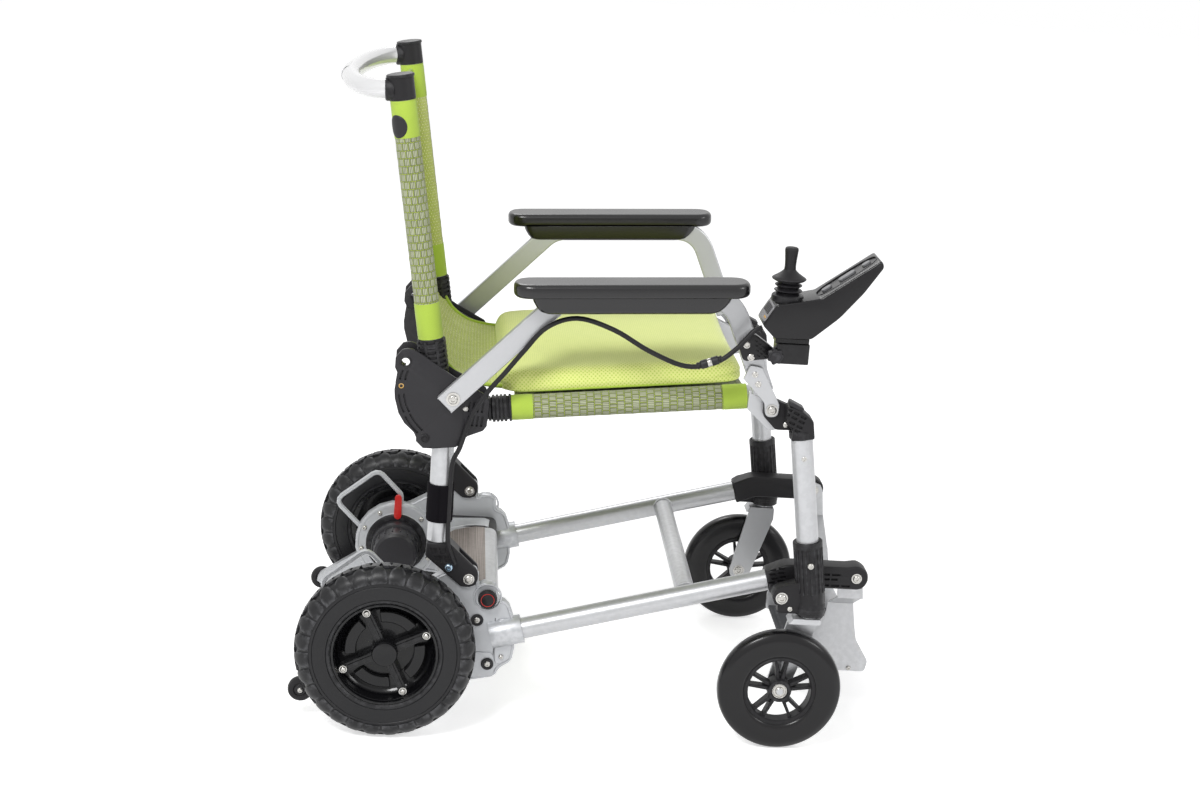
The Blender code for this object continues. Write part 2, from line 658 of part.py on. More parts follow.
def make_lock_knob(side, body):
    """Round pull knob whose pin locks the drive unit to the casting."""
    start = CASTING_OUT_Y - 0.0097
    face = CASTING_OUT_Y + RUNNING_GAP
    profile = [(0, 0), (0, KNOB_PIN_R), (face - start, KNOB_PIN_R), (face - start, KNOB_R - 0.004),
               (face - start + 0.004, KNOB_R), (face - start + 0.013, KNOB_R),
               (face - start + 0.016, KNOB_R - 0.003), (face - start + 0.014, 0)]
    knob = turned("lock_knob_" + side_name(side), profile, (KNOB_X, side * start, KNOB_Z), (0, side, 0), 12)
    return fit(knob, body, "black plastic")


def make_release_lever(side, body):
    """Red freewheel lever in front of the gearbox flange, on its own pin."""
    x, z = LEVER_PIVOT
    y_in, y_out = FLANGE_IN_Y - 0.0055, FLANGE_IN_Y - RUNNING_GAP
    lever = side_slab("release_lever_" + side_name(side), rounded([
        (x - 0.0062, z - 0.0062, 0.006), (x + 0.0062, z - 0.0062, 0.006),
        (x + 0.0052, z + 0.034, 0.005), (x - 0.0052, z + 0.034, 0.005),
    ]), side, y_in, y_out)
    join(lever, cross_rod("lever pin", LEVER_PIVOT, side, y_in + 0.002, FLANGE_IN_Y + 0.008, LEVER_PIN_R, 6))
    return fit(lever, body, "red plastic")


def make_tip_wheel(side, body):
    """Small anti-tip roller behind the drive wheel."""
    half = TIP_WHEEL_W / 2
    bore = (PIVOT_PIN_R - 0.001 + RUNNING_GAP) / math.cos(math.pi / 12)
    profile = [(-half, bore), (-half, TIP_WHEEL_R - 0.004), (-half + 0.003, TIP_WHEEL_R),
               (half - 0.003, TIP_WHEEL_R), (half, TIP_WHEEL_R - 0.004), (half, bore)]
    wheel = turned("anti_tip_wheel_" + side_name(side), profile,
                   (TIP_WHEEL_X, side * TIP_WHEEL_Y, TIP_WHEEL_Z), (0, 1, 0), 12)
    return fit(wheel, body, "black rubber")


def make_drive_wheel(side, body):
    """Solid tyre on a dished rim with four spokes over a recessed disc."""
    centre = (0, side * DRIVE_WHEEL_Y, DRIVE_AXLE_Z)
    half = DRIVE_TYRE_W / 2
    r, bore = DRIVE_TYRE_R, DRIVE_TYRE_BORE_R
    tyre = turned("drive_tyre_" + side_name(side), [
        (-half + 0.004, bore), (-half, bore + 0.016), (-half + 0.005, r - 0.009), (-0.008, r), (0.008, r),
        (half - 0.005, r - 0.009), (half, bore + 0.016), (half - 0.004, bore),
    ], centre, (0, side, 0), DRIVE_SIDES)
    fit(tyre, body, "black rubber")
    edge = DRIVE_RIM_W / 2
    seat = bore - RUNNING_GAP
    hub_bore = DRIVE_SHAFT_R + RUNNING_GAP
    rim = turned("drive_rim_" + side_name(side), [
        (-edge + 0.002, seat - 0.007), (-edge + 0.002, seat), (edge, seat), (edge, seat - 0.005),
        (-0.004, seat - 0.018), (-0.004, DRIVE_HUB_R), (edge, DRIVE_HUB_R - 0.002), (edge, hub_bore),
        (-edge - 0.004, hub_bore), (-edge - 0.004, DRIVE_HUB_R), (-0.010, seat - 0.022),
    ], centre, (0, side, 0), DRIVE_SIDES)
    for k in range(DRIVE_SPOKES):
        angle = math.radians(26) + k * 2 * math.pi / DRIVE_SPOKES
        spoke = block("spoke", (DRIVE_HUB_R - 0.003, -DRIVE_SPOKE_W / 2, -0.006),
                      (seat - 0.006, DRIVE_SPOKE_W / 2, 0.012))
        spoke.data.transform(Matrix.Translation(centre)
                             @ frame_along((0, side, 0)).to_4x4() @ Matrix.Rotation(angle, 4, "Z"))
        join(rim, spoke)
    fit(rim, body, "black paint")


def make_rear_leg(side, body):
    """Leg tube from the hinge plates down to the foot."""
    y = side * FRAME_TUBE_Y
    leg = pipe("rear_leg_" + side_name(side), (LEG_TUBE_X, y, LEG_TUBE_BOTTOM_Z),
               (LEG_TUBE_X, y, LEG_TUBE_TOP_Z), FRAME_TUBE_R)
    return fit(leg, body, "silver")


def make_leg_foot(side, body):
    """Ribbed foot that straddles the casting's lobe and turns on its pin."""
    top = LEG_TUBE_BOTTOM_Z - RUNNING_GAP
    x, z = LEG_PIVOT
    foot = side_slab("leg_foot_" + side_name(side), rounded([
        (LEG_TUBE_X - FRAME_TUBE_R, top, 0), (LEG_TUBE_X - FRAME_TUBE_R - 0.001, top - 0.020, 0.004),
        (x - 0.011, z - 0.012, 0.011), (x + 0.0125, z - 0.0125, 0.012), (x + 0.0125, z + 0.012, 0.011),
        (LEG_TUBE_X + FRAME_TUBE_R + 0.001, top, 0),
    ]), side, FRAME_TUBE_Y - FRAME_TUBE_R, FRAME_TUBE_Y + FRAME_TUBE_R)
    soften(foot, 0.0015)
    plug = rod("leg plug", (LEG_TUBE_X, side * FRAME_TUBE_Y, top - 0.004),
               (LEG_TUBE_X, side * FRAME_TUBE_Y, top + 0.022), FRAME_TUBE_R - TUBE_WALL - RUNNING_GAP, TUBE_SIDES)
    join(foot, plug)
    fork_slot = side_slab("fork slot", rounded([
        (x - 0.034, z + 0.026, 0.012), (x - 0.065, z - 0.010, 0), (x, z - 0.060, 0), (x + 0.060, z - 0.030, 0),
        (x + 0.040, z + 0.040, 0.012), (x - 0.012, z + 0.040, 0.012),
    ]), side, CASTING_IN_Y - RUNNING_GAP, CASTING_OUT_Y + RUNNING_GAP)
    bore = bore_rod("pivot bore", LEG_PIVOT, side, FRAME_TUBE_Y - 0.03, FRAME_TUBE_Y + 0.03,
                     PIVOT_PIN_R + PIVOT_CLEARANCE, 10)
    cut(foot, fork_slot, bore)
    for row in range(2):
        for column in range(2):
            x0 = LEG_TUBE_X - 0.011 + column * 0.013 + row * 0.007
            z0 = top - 0.008 - row * 0.011
            pocket = side_slab("pocket", [(x0, z0), (x0 + 0.003, z0 - 0.008), (x0 + 0.010, z0 - 0.008), (x0 + 0.009, z0)],
                               side, FRAME_TUBE_Y + FRAME_TUBE_R - 0.0025, FRAME_TUBE_Y + FRAME_TUBE_R + 0.005)
            cut(foot, pocket)
    return fit(foot, body, "black plastic")


def plate_outline(steps=2):
    """The hinge plate: lock lobe at the top, leg lobe below, seat pivot at the front."""
    seat_x, seat_z = SEAT_PIVOT
    return rounded([
        (0.014, 0.5455, 0.010), (-0.0055, 0.5400, 0.012), (-0.0060, 0.5150, 0.008),
        (-0.0020, 0.5120, 0.006), (-0.0060, 0.4800, 0.030), (0.0040, 0.4450, 0.030), (0.0270, 0.4240, 0.010),
        (0.0280, 0.4050, 0.012), (0.0520, 0.4050, 0.008), (LEG_TUBE_X + FRAME_TUBE_R + 0.004, 0.4090, 0.006),
        (seat_x + 0.002, seat_z - 0.040, 0.010), (seat_x + 0.030, seat_z - 0.028, 0.008),
        (seat_x + 0.032, seat_z + 0.018, 0.010), (seat_x - 0.018, seat_z + 0.044, 0.030),
        (0.030, 0.5370, 0.010),
    ], steps)


def make_back_hinge(side, body):
    """Two hinge plates with the sockets of the leg and the backrest post between them."""
    y = side * FRAME_TUBE_Y
    outer = side_slab("back_hinge_" + side_name(side), plate_outline(1), side,
                      PLATE_OUT_Y - PLATE_THICKNESS, PLATE_OUT_Y)
    inner = side_slab("inner plate", plate_outline(1), side, PLATE_IN_Y, PLATE_IN_Y + PLATE_THICKNESS)
    low, high = post_point(POST_BOTTOM_Z - 0.022), post_point(POST_SOCKET_TOP_Z)
    height, pitch, ribs = (high - low).length, 0.0120, 1
    profile = [(0, 0), (0, POST_SOCKET_R)]
    for k in range(ribs, 0, -1):
        base = height - k * pitch
        profile += [(base, POST_SOCKET_R), (base, POST_SOCKET_R + 0.0012), (base + pitch / 2, POST_SOCKET_R + 0.0012),
                    (base + pitch / 2, POST_SOCKET_R)]
    profile += [(height, POST_SOCKET_R), (height, 0)]
    socket = turned("post socket", profile, at(low, y), at(high - low, 0), TUBE_SIDES)
    leg_socket = rod("leg socket", (LEG_TUBE_X, y, 0.4110), (LEG_TUBE_X, y, LEG_TUBE_TOP_Z + 0.006),
                     POST_SOCKET_R - 0.0003, TUBE_SIDES)
    core = side_slab("core", rounded([
        (0.012, 0.500, 0.006), (0.016, 0.455, 0.006), (0.034, 0.432, 0.006), (0.066, 0.434, 0), (0.070, 0.446, 0),
        (0.062, 0.500, 0.006),
    ], 2), side, PLATE_IN_Y + PLATE_THICKNESS - 0.001, PLATE_OUT_Y - PLATE_THICKNESS + 0.001)
    lock_spacer = cross_rod("lock spacer", PLATE_HOLE, side, PLATE_IN_Y + 0.001, PLATE_OUT_Y - 0.001, 0.0075, 6)
    seat_pin = cross_rod("seat pin", SEAT_PIVOT, side, PLATE_IN_Y + 0.001, PLATE_OUT_Y - 0.001, PIVOT_PIN_R, 10)
    arm_boss = cross_rod("arm boss", ARM_PIVOT, side, PLATE_OUT_Y - 0.001, ARM_IN_Y - RUNNING_GAP, 0.010, 10)
    arm_pin = cross_rod("arm pin", ARM_PIVOT, side, PLATE_OUT_Y - 0.001, ARM_OUT_Y, PIVOT_PIN_R, 10)
    join(outer, inner, socket, leg_socket, core, lock_spacer, seat_pin, arm_boss, arm_pin)
    post_bore = rod("post bore", at(post_point(POST_BOTTOM_Z - RUNNING_GAP), y),
                    at(post_point(POST_SOCKET_TOP_Z + 0.02), y), FRAME_TUBE_R + RUNNING_GAP, TUBE_SIDES)
    leg_bore = rod("leg bore", (LEG_TUBE_X, y, 0.380), (LEG_TUBE_X, y, LEG_TUBE_TOP_Z + RUNNING_GAP),
                   FRAME_TUBE_R + RUNNING_GAP, TUBE_SIDES)
    hole = cross_rod("plate hole", PLATE_HOLE, side, PLATE_IN_Y - 0.01, PLATE_OUT_Y + 0.01, 0.0038, 8)
    cut(outer, post_bore, leg_bore, hole)
    return fit(outer, body, "black plastic")


def make_back_post(side, body):
    y = side * FRAME_TUBE_Y
    post = pipe("back_post_" + side_name(side), at(post_point(POST_BOTTOM_Z), y),
                at(post_point(POST_TOP_Z), y), FRAME_TUBE_R)
    return fit(post, body, "silver")


def make_post_cap(side, body):
    """End cap over the top of a post, which also holds the push handle's end."""
    y = side * FRAME_TUBE_Y
    base = at(post_point(CAP_BOTTOM_Z), y)
    run = at((POST_HEAD - POST_FOOT).normalized(), 0)
    height = (CAP_TOP_Z - CAP_BOTTOM_Z - CAP_R * abs(run[0])) / run[2]
    bore = FRAME_TUBE_R + RUNNING_GAP
    depth = (POST_TOP_Z - CAP_BOTTOM_Z) / run[2] + RUNNING_GAP
    cap = turned("post_cap_" + side_name(side), [
        (depth, 0), (depth, bore), (0, bore), (0, CAP_R), (height - 0.003, CAP_R), (height, CAP_R - 0.003), (height, 0),
    ], base, run, TUBE_SIDES)
    return fit(cap, body, "black plastic")


def make_push_handle(body):
    """Bent tube behind the backrest, from cap to cap."""
    y = FRAME_TUBE_Y
    start_x = post_point(HANDLE_END_Z)[0]
    points = [(start_x, -y, HANDLE_END_Z), (HANDLE_BACK_X, -y, HANDLE_BACK_Z),
              (HANDLE_BACK_X, y, HANDLE_BACK_Z), (start_x, y, HANDLE_END_Z)]
    handle = bent_bar("push_handle", arc_path(points, HANDLE_BEND_R, 5), HANDLE_R, 3)
    for side in (-1, 1):
        room = rod("cap room", at(post_point(CAP_BOTTOM_Z - 0.02), side * y), at(post_point(CAP_TOP_Z + 0.02), side * y),
                   CAP_R + RUNNING_GAP, TUBE_SIDES)
        cut(handle, room)
    return fit(handle, body, "white silver")


def make_back_sling(body):
    """Backrest cloth between the posts: it hangs back in the middle and curves forward at its foot."""
    rows = [post_point(CAP_BOTTOM_Z - 0.006 - k * (CAP_BOTTOM_Z - 0.006 - 0.560) / 6) for k in range(7)]
    rows += [Vector((0.0480, 0.540)), Vector((0.0590, 0.522)), Vector((0.0720, 0.508))]
    columns = 8
    bm = bmesh.new()
    grid = []
    for k, row in enumerate(rows):
        fullness = math.sin(math.pi * min(1.0, (k + 1.5) / (len(rows) + 1)))
        half = (FRAME_TUBE_Y - FRAME_TUBE_R if row[1] > 0.59 else PLATE_IN_Y) - RUNNING_GAP * 2
        line = []
        for c in range(columns + 1):
            across = -1 + 2 * c / columns
            sag = SLING_SAG * fullness * (1 - across ** 2)
            line.append(bm.verts.new((row[0] - sag, across * half, row[1])))
        grid.append(line)
    for lower, upper in zip(grid, grid[1:]):
        for c in range(columns):
            bm.faces.new((lower[c], lower[c + 1], upper[c + 1], upper[c]))
    bmesh.ops.recalc_face_normals(bm, faces=bm.faces)
    bmesh.ops.solidify(bm, geom=bm.faces[:], thickness=SLING_THICKNESS)
    sling = add_object("back_sling", bm)
    return fit(sling, body, "lime fabric")


def make_seat_rail(side, body):
    """Seat tube, with the plate at its front end that turns on the front leg."""
    y = side * FRAME_TUBE_Y
    run = (RAIL_FRONT - RAIL_REAR).normalized()
    rear, front = rail_point(RAIL_TUBE_REAR_X), RAIL_FRONT
    rail = pipe("seat_rail_" + side_name(side), at(rear, y), at(front, y), FRAME_TUBE_R)
    plug = rod("rail plug", at(front - run * 0.024, y), at(front + run * 0.004, y), FRAME_TUBE_R - TUBE_WALL / 2, TUBE_SIDES, 0.25)
    x, z = SEAT_FRONT_PIVOT
    plate_in = FRAME_TUBE_Y + 0.004
    bracket = side_slab("bracket", rounded([
        (front[0] - 0.001, front[1] + 0.013, 0.004), (front[0] - 0.001, front[1] - 0.013, 0.004),
        (x - 0.016, z - 0.018, 0.010), (x + 0.011, z - 0.011, 0.010), (x + 0.011, z + 0.010, 0.010),
        (x - 0.012, z + 0.020, 0.012),
    ], 1), side, plate_in, SEAT_BRACKET_OUT_Y)
    bore = bore_rod("front pivot bore", SEAT_FRONT_PIVOT, side, plate_in - 0.01, SEAT_BRACKET_OUT_Y + 0.01,
                     PIVOT_PIN_R + PIVOT_CLEARANCE, 10)
    join(rail, plug, bracket)
    cut(rail, bore)
    return fit(rail, body, "silver")


def make_rail_socket(side, body):
    """Ribbed moulding that holds the rail's rear end and turns between the hinge plates."""
    y = side * FRAME_TUBE_Y
    run = (RAIL_FRONT - RAIL_REAR).normalized()
    neck_r = (PLATE_OUT_Y - PLATE_IN_Y) / 2 - PLATE_THICKNESS - PIVOT_CLEARANCE
    start = rail_point(SEAT_PIVOT[0])
    mouth = (RAIL_REAR - start).length
    shoulder = mouth - 0.017
    profile = [(0.002, 0), (0.002, neck_r - 0.0015)]
    ribs = 1
    pitch = (shoulder - 0.018) / ribs
    for k in range(ribs):
        base = 0.014 + k * pitch
        profile += [(base, neck_r - 0.0015), (base, neck_r), (base + pitch * 0.5, neck_r), (base + pitch * 0.5, neck_r - 0.0015)]
    profile += [(shoulder, neck_r - 0.0015), (shoulder, RAIL_SOCKET_R), (mouth, RAIL_SOCKET_R),
                (mouth, FRAME_TUBE_R + RUNNING_GAP), (shoulder + 0.001, FRAME_TUBE_R + RUNNING_GAP),
                (shoulder + 0.001, 0)]
    socket = turned("rail_socket_" + side_name(side), profile, at(start, y), at(run, 0), TUBE_SIDES)
    tongue = cross_rod("tongue", SEAT_PIVOT, side, FRAME_TUBE_Y - neck_r + 0.0005, FRAME_TUBE_Y + neck_r - 0.0005,
                       0.0150, 10)
    bore = bore_rod("seat pivot bore", SEAT_PIVOT, side, FRAME_TUBE_Y - 0.03, FRAME_TUBE_Y + 0.03,
                     PIVOT_PIN_R + PIVOT_CLEARANCE, 10)
    join(socket, tongue)
    cut(socket, bore)
    return fit(socket, body, "black plastic")


def make_cushion(body):
    """Seat pad with a crown, sides that draw in, and a sling that hangs between the rails."""
    columns, rows = 10, 6
    half = CUSHION_WIDTH / 2
    inner = FRAME_TUBE_Y - FRAME_TUBE_R - RUNNING_GAP * 2
    run = (RAIL_FRONT - RAIL_REAR)
    normal = Vector((-run[1], run[0])).normalized()
    rear, front = RAIL_REAR + run * 0.006, RAIL_FRONT - run * 0.006
    over = FRAME_TUBE_R + RUNNING_GAP * 2
    under = 0.002

    def section(t):
        """Heights over the rail's centre line at one place along the seat, and how far the sides draw in."""
        swell = math.sin(math.pi * t) ** 0.5 if 0 < t < 1 else 0.0
        pull = 0.004 * math.sin(math.pi * t)
        top = over + CUSHION_THICKNESS * (0.62 + 0.38 * swell)
        wide = half - pull
        points = [(-inner, under), (inner, under), (inner, over), (wide - 0.003, over), (wide, over + 0.008),
                  (wide - 0.002, top - 0.008)]
        for c in range(columns + 1):
            across = 1 - 2 * c / columns
            crown = CUSHION_CROWN * swell * (1 - across ** 2)
            points.append((across * (wide - 0.010), top + crown))
        points += [(-wide + 0.002, top - 0.008), (-wide, over + 0.008), (-wide + 0.003, over), (-inner, over)]
        return points

    bm = bmesh.new()
    rings = []
    for k in range(rows + 1):
        t = k / rows
        base = rear.lerp(front, t)
        rings.append([bm.verts.new((base[0] + normal[0] * h, y, base[1] + normal[1] * h)) for y, h in section(t)])
    count = len(rings[0])
    for lower, upper in zip(rings, rings[1:]):
        for c in range(count):
            d = (c + 1) % count
            bm.faces.new((lower[c], lower[d], upper[d], upper[c]))
    bm.faces.new(rings[0])
    bm.faces.new(rings[-1])
    cushion = add_object("seat_cushion", bm)
    return fit(cushion, body, "lime fabric")


def arm_line():
    """Centre line of the armrest tube, from its rear end over the pad to its front end."""
    rise = Vector((math.cos(ARM_RISE), math.sin(ARM_RISE)))
    top = Vector((math.cos(ARM_TOP_SLOPE), math.sin(ARM_TOP_SLOPE)))
    drop = Vector((math.cos(ARM_DROP), -math.sin(ARM_DROP)))
    origin = Vector((0.200, ARM_TOP_REAR_Z))
    rear_corner = meet(ARM_REAR_END, rise, origin, top)
    front_corner = meet(ARM_FRONT_END, drop, origin, top)
    path = arc_path([at(ARM_REAR_END, 0), at(rear_corner, 0), at(front_corner, 0), at(ARM_FRONT_END, 0)],
                    ARM_BEND_R, 3)
    return [Vector((p[0], p[2])) for p in path]


def meet(a, along_a, b, along_b):
    """Where two lines cross."""
    det = along_a[0] * along_b[1] - along_a[1] * along_b[0]
    t = ((b[0] - a[0]) * along_b[1] - (b[1] - a[1]) * along_b[0]) / det
    return a + along_a * t


def offset_band(line, half):
    """The outline of a bar of constant depth along a centre line."""
    upper, lower = [], []
    for k, point in enumerate(line):
        before, after = line[max(k - 1, 0)], line[min(k + 1, len(line) - 1)]
        run = (after - before).normalized()
        across = Vector((-run[1], run[0])) * half
        upper.append(point + across)
        lower.append(point - across)
    return upper + lower[::-1]


def make_arm_tube(side, body):
    """Flat armrest tube with the riveted plate that hangs on the front leg."""
    arm = side_slab("arm_tube_" + side_name(side), offset_band(arm_line(), ARM_DEPTH / 2), side, ARM_IN_Y, ARM_OUT_Y)
    soften(arm, 0.0025)
    x, z = ARM_FRONT_PIVOT
    low_in = ARM_OUT_Y + RUNNING_GAP
    plate = side_slab("front plate", rounded([
        (0.4760, 0.5530, 0.005), (0.4680, 0.5330, 0), (x - 0.0110, z + 0.010, 0.014), (x - 0.0085, z - 0.0105, 0.009),
        (x + 0.0095, z - 0.0095, 0.009), (x + 0.0100, z + 0.008, 0.006), (0.4930, 0.5500, 0.006),
    ], 1), side, low_in, low_in + ARM_BRACKET_T)
    rivets = [cross_rod("rivet", place, side, ARM_OUT_Y - 0.004, low_in + ARM_BRACKET_T + 0.001, 0.0035, 6)
              for place in ((0.4835, 0.5400), (0.4890, 0.5265))]
    arm_bore = bore_rod("rear pivot bore", ARM_PIVOT, side, ARM_IN_Y - 0.01, ARM_OUT_Y + 0.01,
                         PIVOT_PIN_R + PIVOT_CLEARANCE, 10)
    front_bore = bore_rod("front pivot bore", ARM_FRONT_PIVOT, side, ARM_OUT_Y - 0.01, ARM_OUT_Y + 0.02,
                           PIVOT_PIN_R + PIVOT_CLEARANCE, 10)
    join(arm, plate, *rivets)
    cut(arm, arm_bore, front_bore)
    return fit(arm, body, "silver")


def make_arm_pad(side, body):
    """Armrest pad: a slab on a tapered body that wraps the tube."""
    slope = Vector((math.cos(ARM_TOP_SLOPE), math.sin(ARM_TOP_SLOPE)))
    up = Vector((-slope[1], slope[0]))
    rear = Vector((PAD_REAR_X, PAD_TOP_REAR_Z))
    length = PAD_LENGTH / slope[0]

    def corner(along, down, radius):
        p = rear + slope * along - up * down
        return (p[0], p[1], radius)

    pad = side_slab("arm_pad_" + side_name(side), rounded([
        corner(0.003, 0, 0.006), corner(0, PAD_SLAB_T * 0.5, 0.004), corner(0.003, PAD_SLAB_T, 0.003),
        corner(length - 0.003, PAD_SLAB_T, 0.003), corner(length, PAD_SLAB_T * 0.5, 0.004),
        corner(length - 0.003, 0, 0.006),
    ]), side, PAD_IN_Y, PAD_OUT_Y)
    soften(pad, 0.004)
    lower = side_slab("pad body", rounded([
        corner(0.026, PAD_SLAB_T - 0.002, 0), corner(0.046, PAD_SLAB_T + PAD_BODY_T, 0.008),
        corner(length - 0.050, PAD_SLAB_T + PAD_BODY_T, 0.008), corner(length - 0.030, PAD_SLAB_T - 0.002, 0),
    ]), side, PAD_IN_Y + 0.0005, PAD_OUT_Y - 0.008)
    soften(lower, 0.0015)
    line = arm_line()
    channel = side_slab("tube channel", offset_band(line, ARM_DEPTH / 2 + RUNNING_GAP), side,
                        ARM_IN_Y - RUNNING_GAP, ARM_OUT_Y + RUNNING_GAP)
    join(pad, lower)
    cut(pad, channel)
    return fit(pad, body, "black plastic")


def make_knuckle(side, body):
    """Moulded head of the front leg with the pivots of the seat and the armrest."""
    top = leg_point(LEG_TOP_Z)
    ax, az = ARM_FRONT_PIVOT
    sx, sz = SEAT_FRONT_PIVOT
    lug = side_slab("leg_knuckle_" + side_name(side), rounded([
        (ax - 0.0105, az + 0.0090, 0.009), (ax - 0.0100, az - 0.0105, 0.009), (sx - 0.0100, sz - 0.0120, 0.010),
        (top[0] - 0.008, top[1] + 0.006, 0), (top[0] + 0.008, top[1] + 0.030, 0.010),
        (ax + 0.006, az + 0.0135, 0.008),
    ]), side, KNUCKLE_IN_Y, ARM_OUT_Y - RUNNING_GAP)
    y_in, y_out = FRONT_LEG_Y - FRONT_LEG_R, FRONT_LEG_Y + FRONT_LEG_R
    head = side_slab("head", rounded([
        (top[0] - 0.0150, top[1] - 0.0022, 0), (top[0] + 0.0150, top[1] + 0.0022, 0), (top[0] + 0.0120, top[1] + 0.026, 0.008),
        (top[0] - 0.002, top[1] + 0.036, 0.008), (ax + 0.021, az + 0.008, 0.006), (ax + 0.019, az - 0.014, 0.004),
    ]), side, y_in, y_out)
    soften(head, 0.002)
    run = (leg_point(LEG_TOP_Z) - leg_point(LEG_BOTTOM_Z)).normalized()
    plug = rod("leg plug", at(top - run * 0.022, side * FRONT_LEG_Y), at(top + run * 0.006, side * FRONT_LEG_Y),
               FRONT_LEG_R - TUBE_WALL - RUNNING_GAP, TUBE_SIDES)
    arm_pin = cross_rod("arm pin", ARM_FRONT_PIVOT, side, ARM_OUT_Y - 0.004, ARM_OUT_Y + ARM_BRACKET_T + 0.001,
                        PIVOT_PIN_R, 10)
    seat_pin = cross_rod("seat pin", SEAT_FRONT_PIVOT, side, FRAME_TUBE_Y + 0.006, KNUCKLE_IN_Y + 0.002,
                         PIVOT_PIN_R, 10)
    join(lug, head, plug, arm_pin, seat_pin)
    for row in range(2):
        for column in range(2):
            x0 = ax + 0.026 + column * 0.0090 + row * 0.002
            z0 = az - 0.004 - column * 0.0045 - row * 0.0105
            pocket = side_slab("pocket", [(x0, z0), (x0 + 0.0015, z0 - 0.0075), (x0 + 0.0070, z0 - 0.0105),
                                          (x0 + 0.0060, z0 - 0.0030)], side, y_out - 0.0025, y_out + 0.004)
            cut(lug, pocket)
    return fit(lug, body, "black plastic")


def make_front_leg(side, body):
    y = side * FRONT_LEG_Y
    run = (leg_point(LEG_TOP_Z) - leg_point(LEG_BOTTOM_Z)).normalized()
    leg = pipe("front_leg_" + side_name(side), at(leg_point(LEG_BOTTOM_Z), y),
               at(leg_point(LEG_TOP_Z) - run * (RUNNING_GAP * 2), y), FRONT_LEG_R)
    return fit(leg, body, "silver")


def make_leg_sleeve(side, body):
    """Fluted sleeve at the foot of the leg with its pivot ear, and the collar that holds the caster's stem."""
    y = side * FRONT_LEG_Y
    low, high = leg_point(SLEEVE_BOTTOM_Z - 0.004), leg_point(SLEEVE_TOP_Z)
    sleeve = rod("leg_sleeve_" + side_name(side), at(low, y), at(high, y), SLEEVE_R, TUBE_SIDES)
    collar = turned("collar", [(0, 0), (0, COLLAR_R - 0.001), (0.001, COLLAR_R), (0.017, COLLAR_R), (0.024, SLEEVE_R - 0.002),
                               (0.024, 0)], (STEM_X, y, COLLAR_BOTTOM_Z), (0, 0, 1), 14, 0.3)
    x, z = LEG_FRONT_PIVOT
    ear = side_slab("ear", rounded([
        (x - 0.0125, z - 0.0125, 0.012), (STEM_X - 0.010, COLLAR_BOTTOM_Z + 0.012, 0), (STEM_X - 0.002, z + 0.030, 0),
        (x - 0.0125, z + 0.0125, 0.012),
    ]), side, EAR_IN_Y, EAR_OUT_Y)
    clamp = block("clamp", (x - 0.004, y - 0.010, COLLAR_BOTTOM_Z + 0.002),
                  (STEM_X - 0.012, y + 0.010, COLLAR_BOTTOM_Z + 0.017), 0.002, 1)
    join(sleeve, collar, ear, clamp)
    bore = rod("leg bore", at(leg_point(LEG_BOTTOM_Z - RUNNING_GAP), y), at(leg_point(SLEEVE_TOP_Z + 0.02), y),
               FRONT_LEG_R + RUNNING_GAP, TUBE_SIDES)
    pin_bore = bore_rod("pivot bore", LEG_FRONT_PIVOT, side, EAR_IN_Y - 0.01, EAR_OUT_Y + 0.01,
                         PIVOT_PIN_R + PIVOT_CLEARANCE, 10)
    stem_bore = rod("stem bore", (STEM_X, y, COLLAR_BOTTOM_Z - 0.01), (STEM_X, y, STEM_TOP_Z + 0.001),
                    (STEM_R + RUNNING_GAP) / math.cos(math.pi / 10), 10)
    cut(sleeve, bore, pin_bore, stem_bore)
    return fit(sleeve, body, "black plastic")


def make_caster_fork(side, body):
    """One-sided fork: stem, crown and a flat arm on the inner side of the wheel, with the axle."""
    y = side * FRONT_LEG_Y
    arm_out = CASTER_WHEEL_Y - CASTER_TYRE_W / 2 - 0.0030
    arm_in = arm_out - FORK_T
    top = CROWN_BOTTOM_Z + CROWN_T
    x = WHEEL_BASE
    arm = side_slab("caster_fork_" + side_name(side), rounded([
        (STEM_X - 0.024, top, 0.004), (x - 0.0150, CASTER_AXLE_Z + 0.002, 0), (x - 0.0130, CASTER_AXLE_Z - 0.0140, 0.013),
        (x + 0.0150, CASTER_AXLE_Z - 0.0140, 0.013), (STEM_X + 0.015, CROWN_BOTTOM_Z - 0.010, 0.010), (STEM_X + 0.015, top, 0.004),
    ]), side, arm_in, arm_out)
    crown = side_slab("crown", rounded([
        (STEM_X - 0.024, top, 0.002), (STEM_X - 0.030, CROWN_BOTTOM_Z, 0), (STEM_X + 0.015, CROWN_BOTTOM_Z, 0.002),
        (STEM_X + 0.015, top, 0.002),
    ], 2), side, arm_in, FRONT_LEG_Y + 0.0150)
    stem = rod("stem", (STEM_X, y, CROWN_BOTTOM_Z + 0.002), (STEM_X, y, STEM_TOP_Z), STEM_R, 10)
    washer = rod("washer", (STEM_X, y, top - 0.001), (STEM_X, y, COLLAR_BOTTOM_Z - RUNNING_GAP), 0.0130, 12)
    axle = cross_rod("axle", (x, CASTER_AXLE_Z), side, arm_in + 0.001, CASTER_WHEEL_Y + CASTER_TYRE_W / 2 - 0.001,
                     CASTER_AXLE_R, 8)
    spacer = cross_rod("axle spacer", (x, CASTER_AXLE_Z), side, arm_out - 0.001,
                       CASTER_WHEEL_Y - CASTER_TYRE_W / 2 + 0.002 - RUNNING_GAP, 0.0085, 8)
    join(arm, crown, stem, washer, axle, spacer)
    return fit(arm, body, "silver")


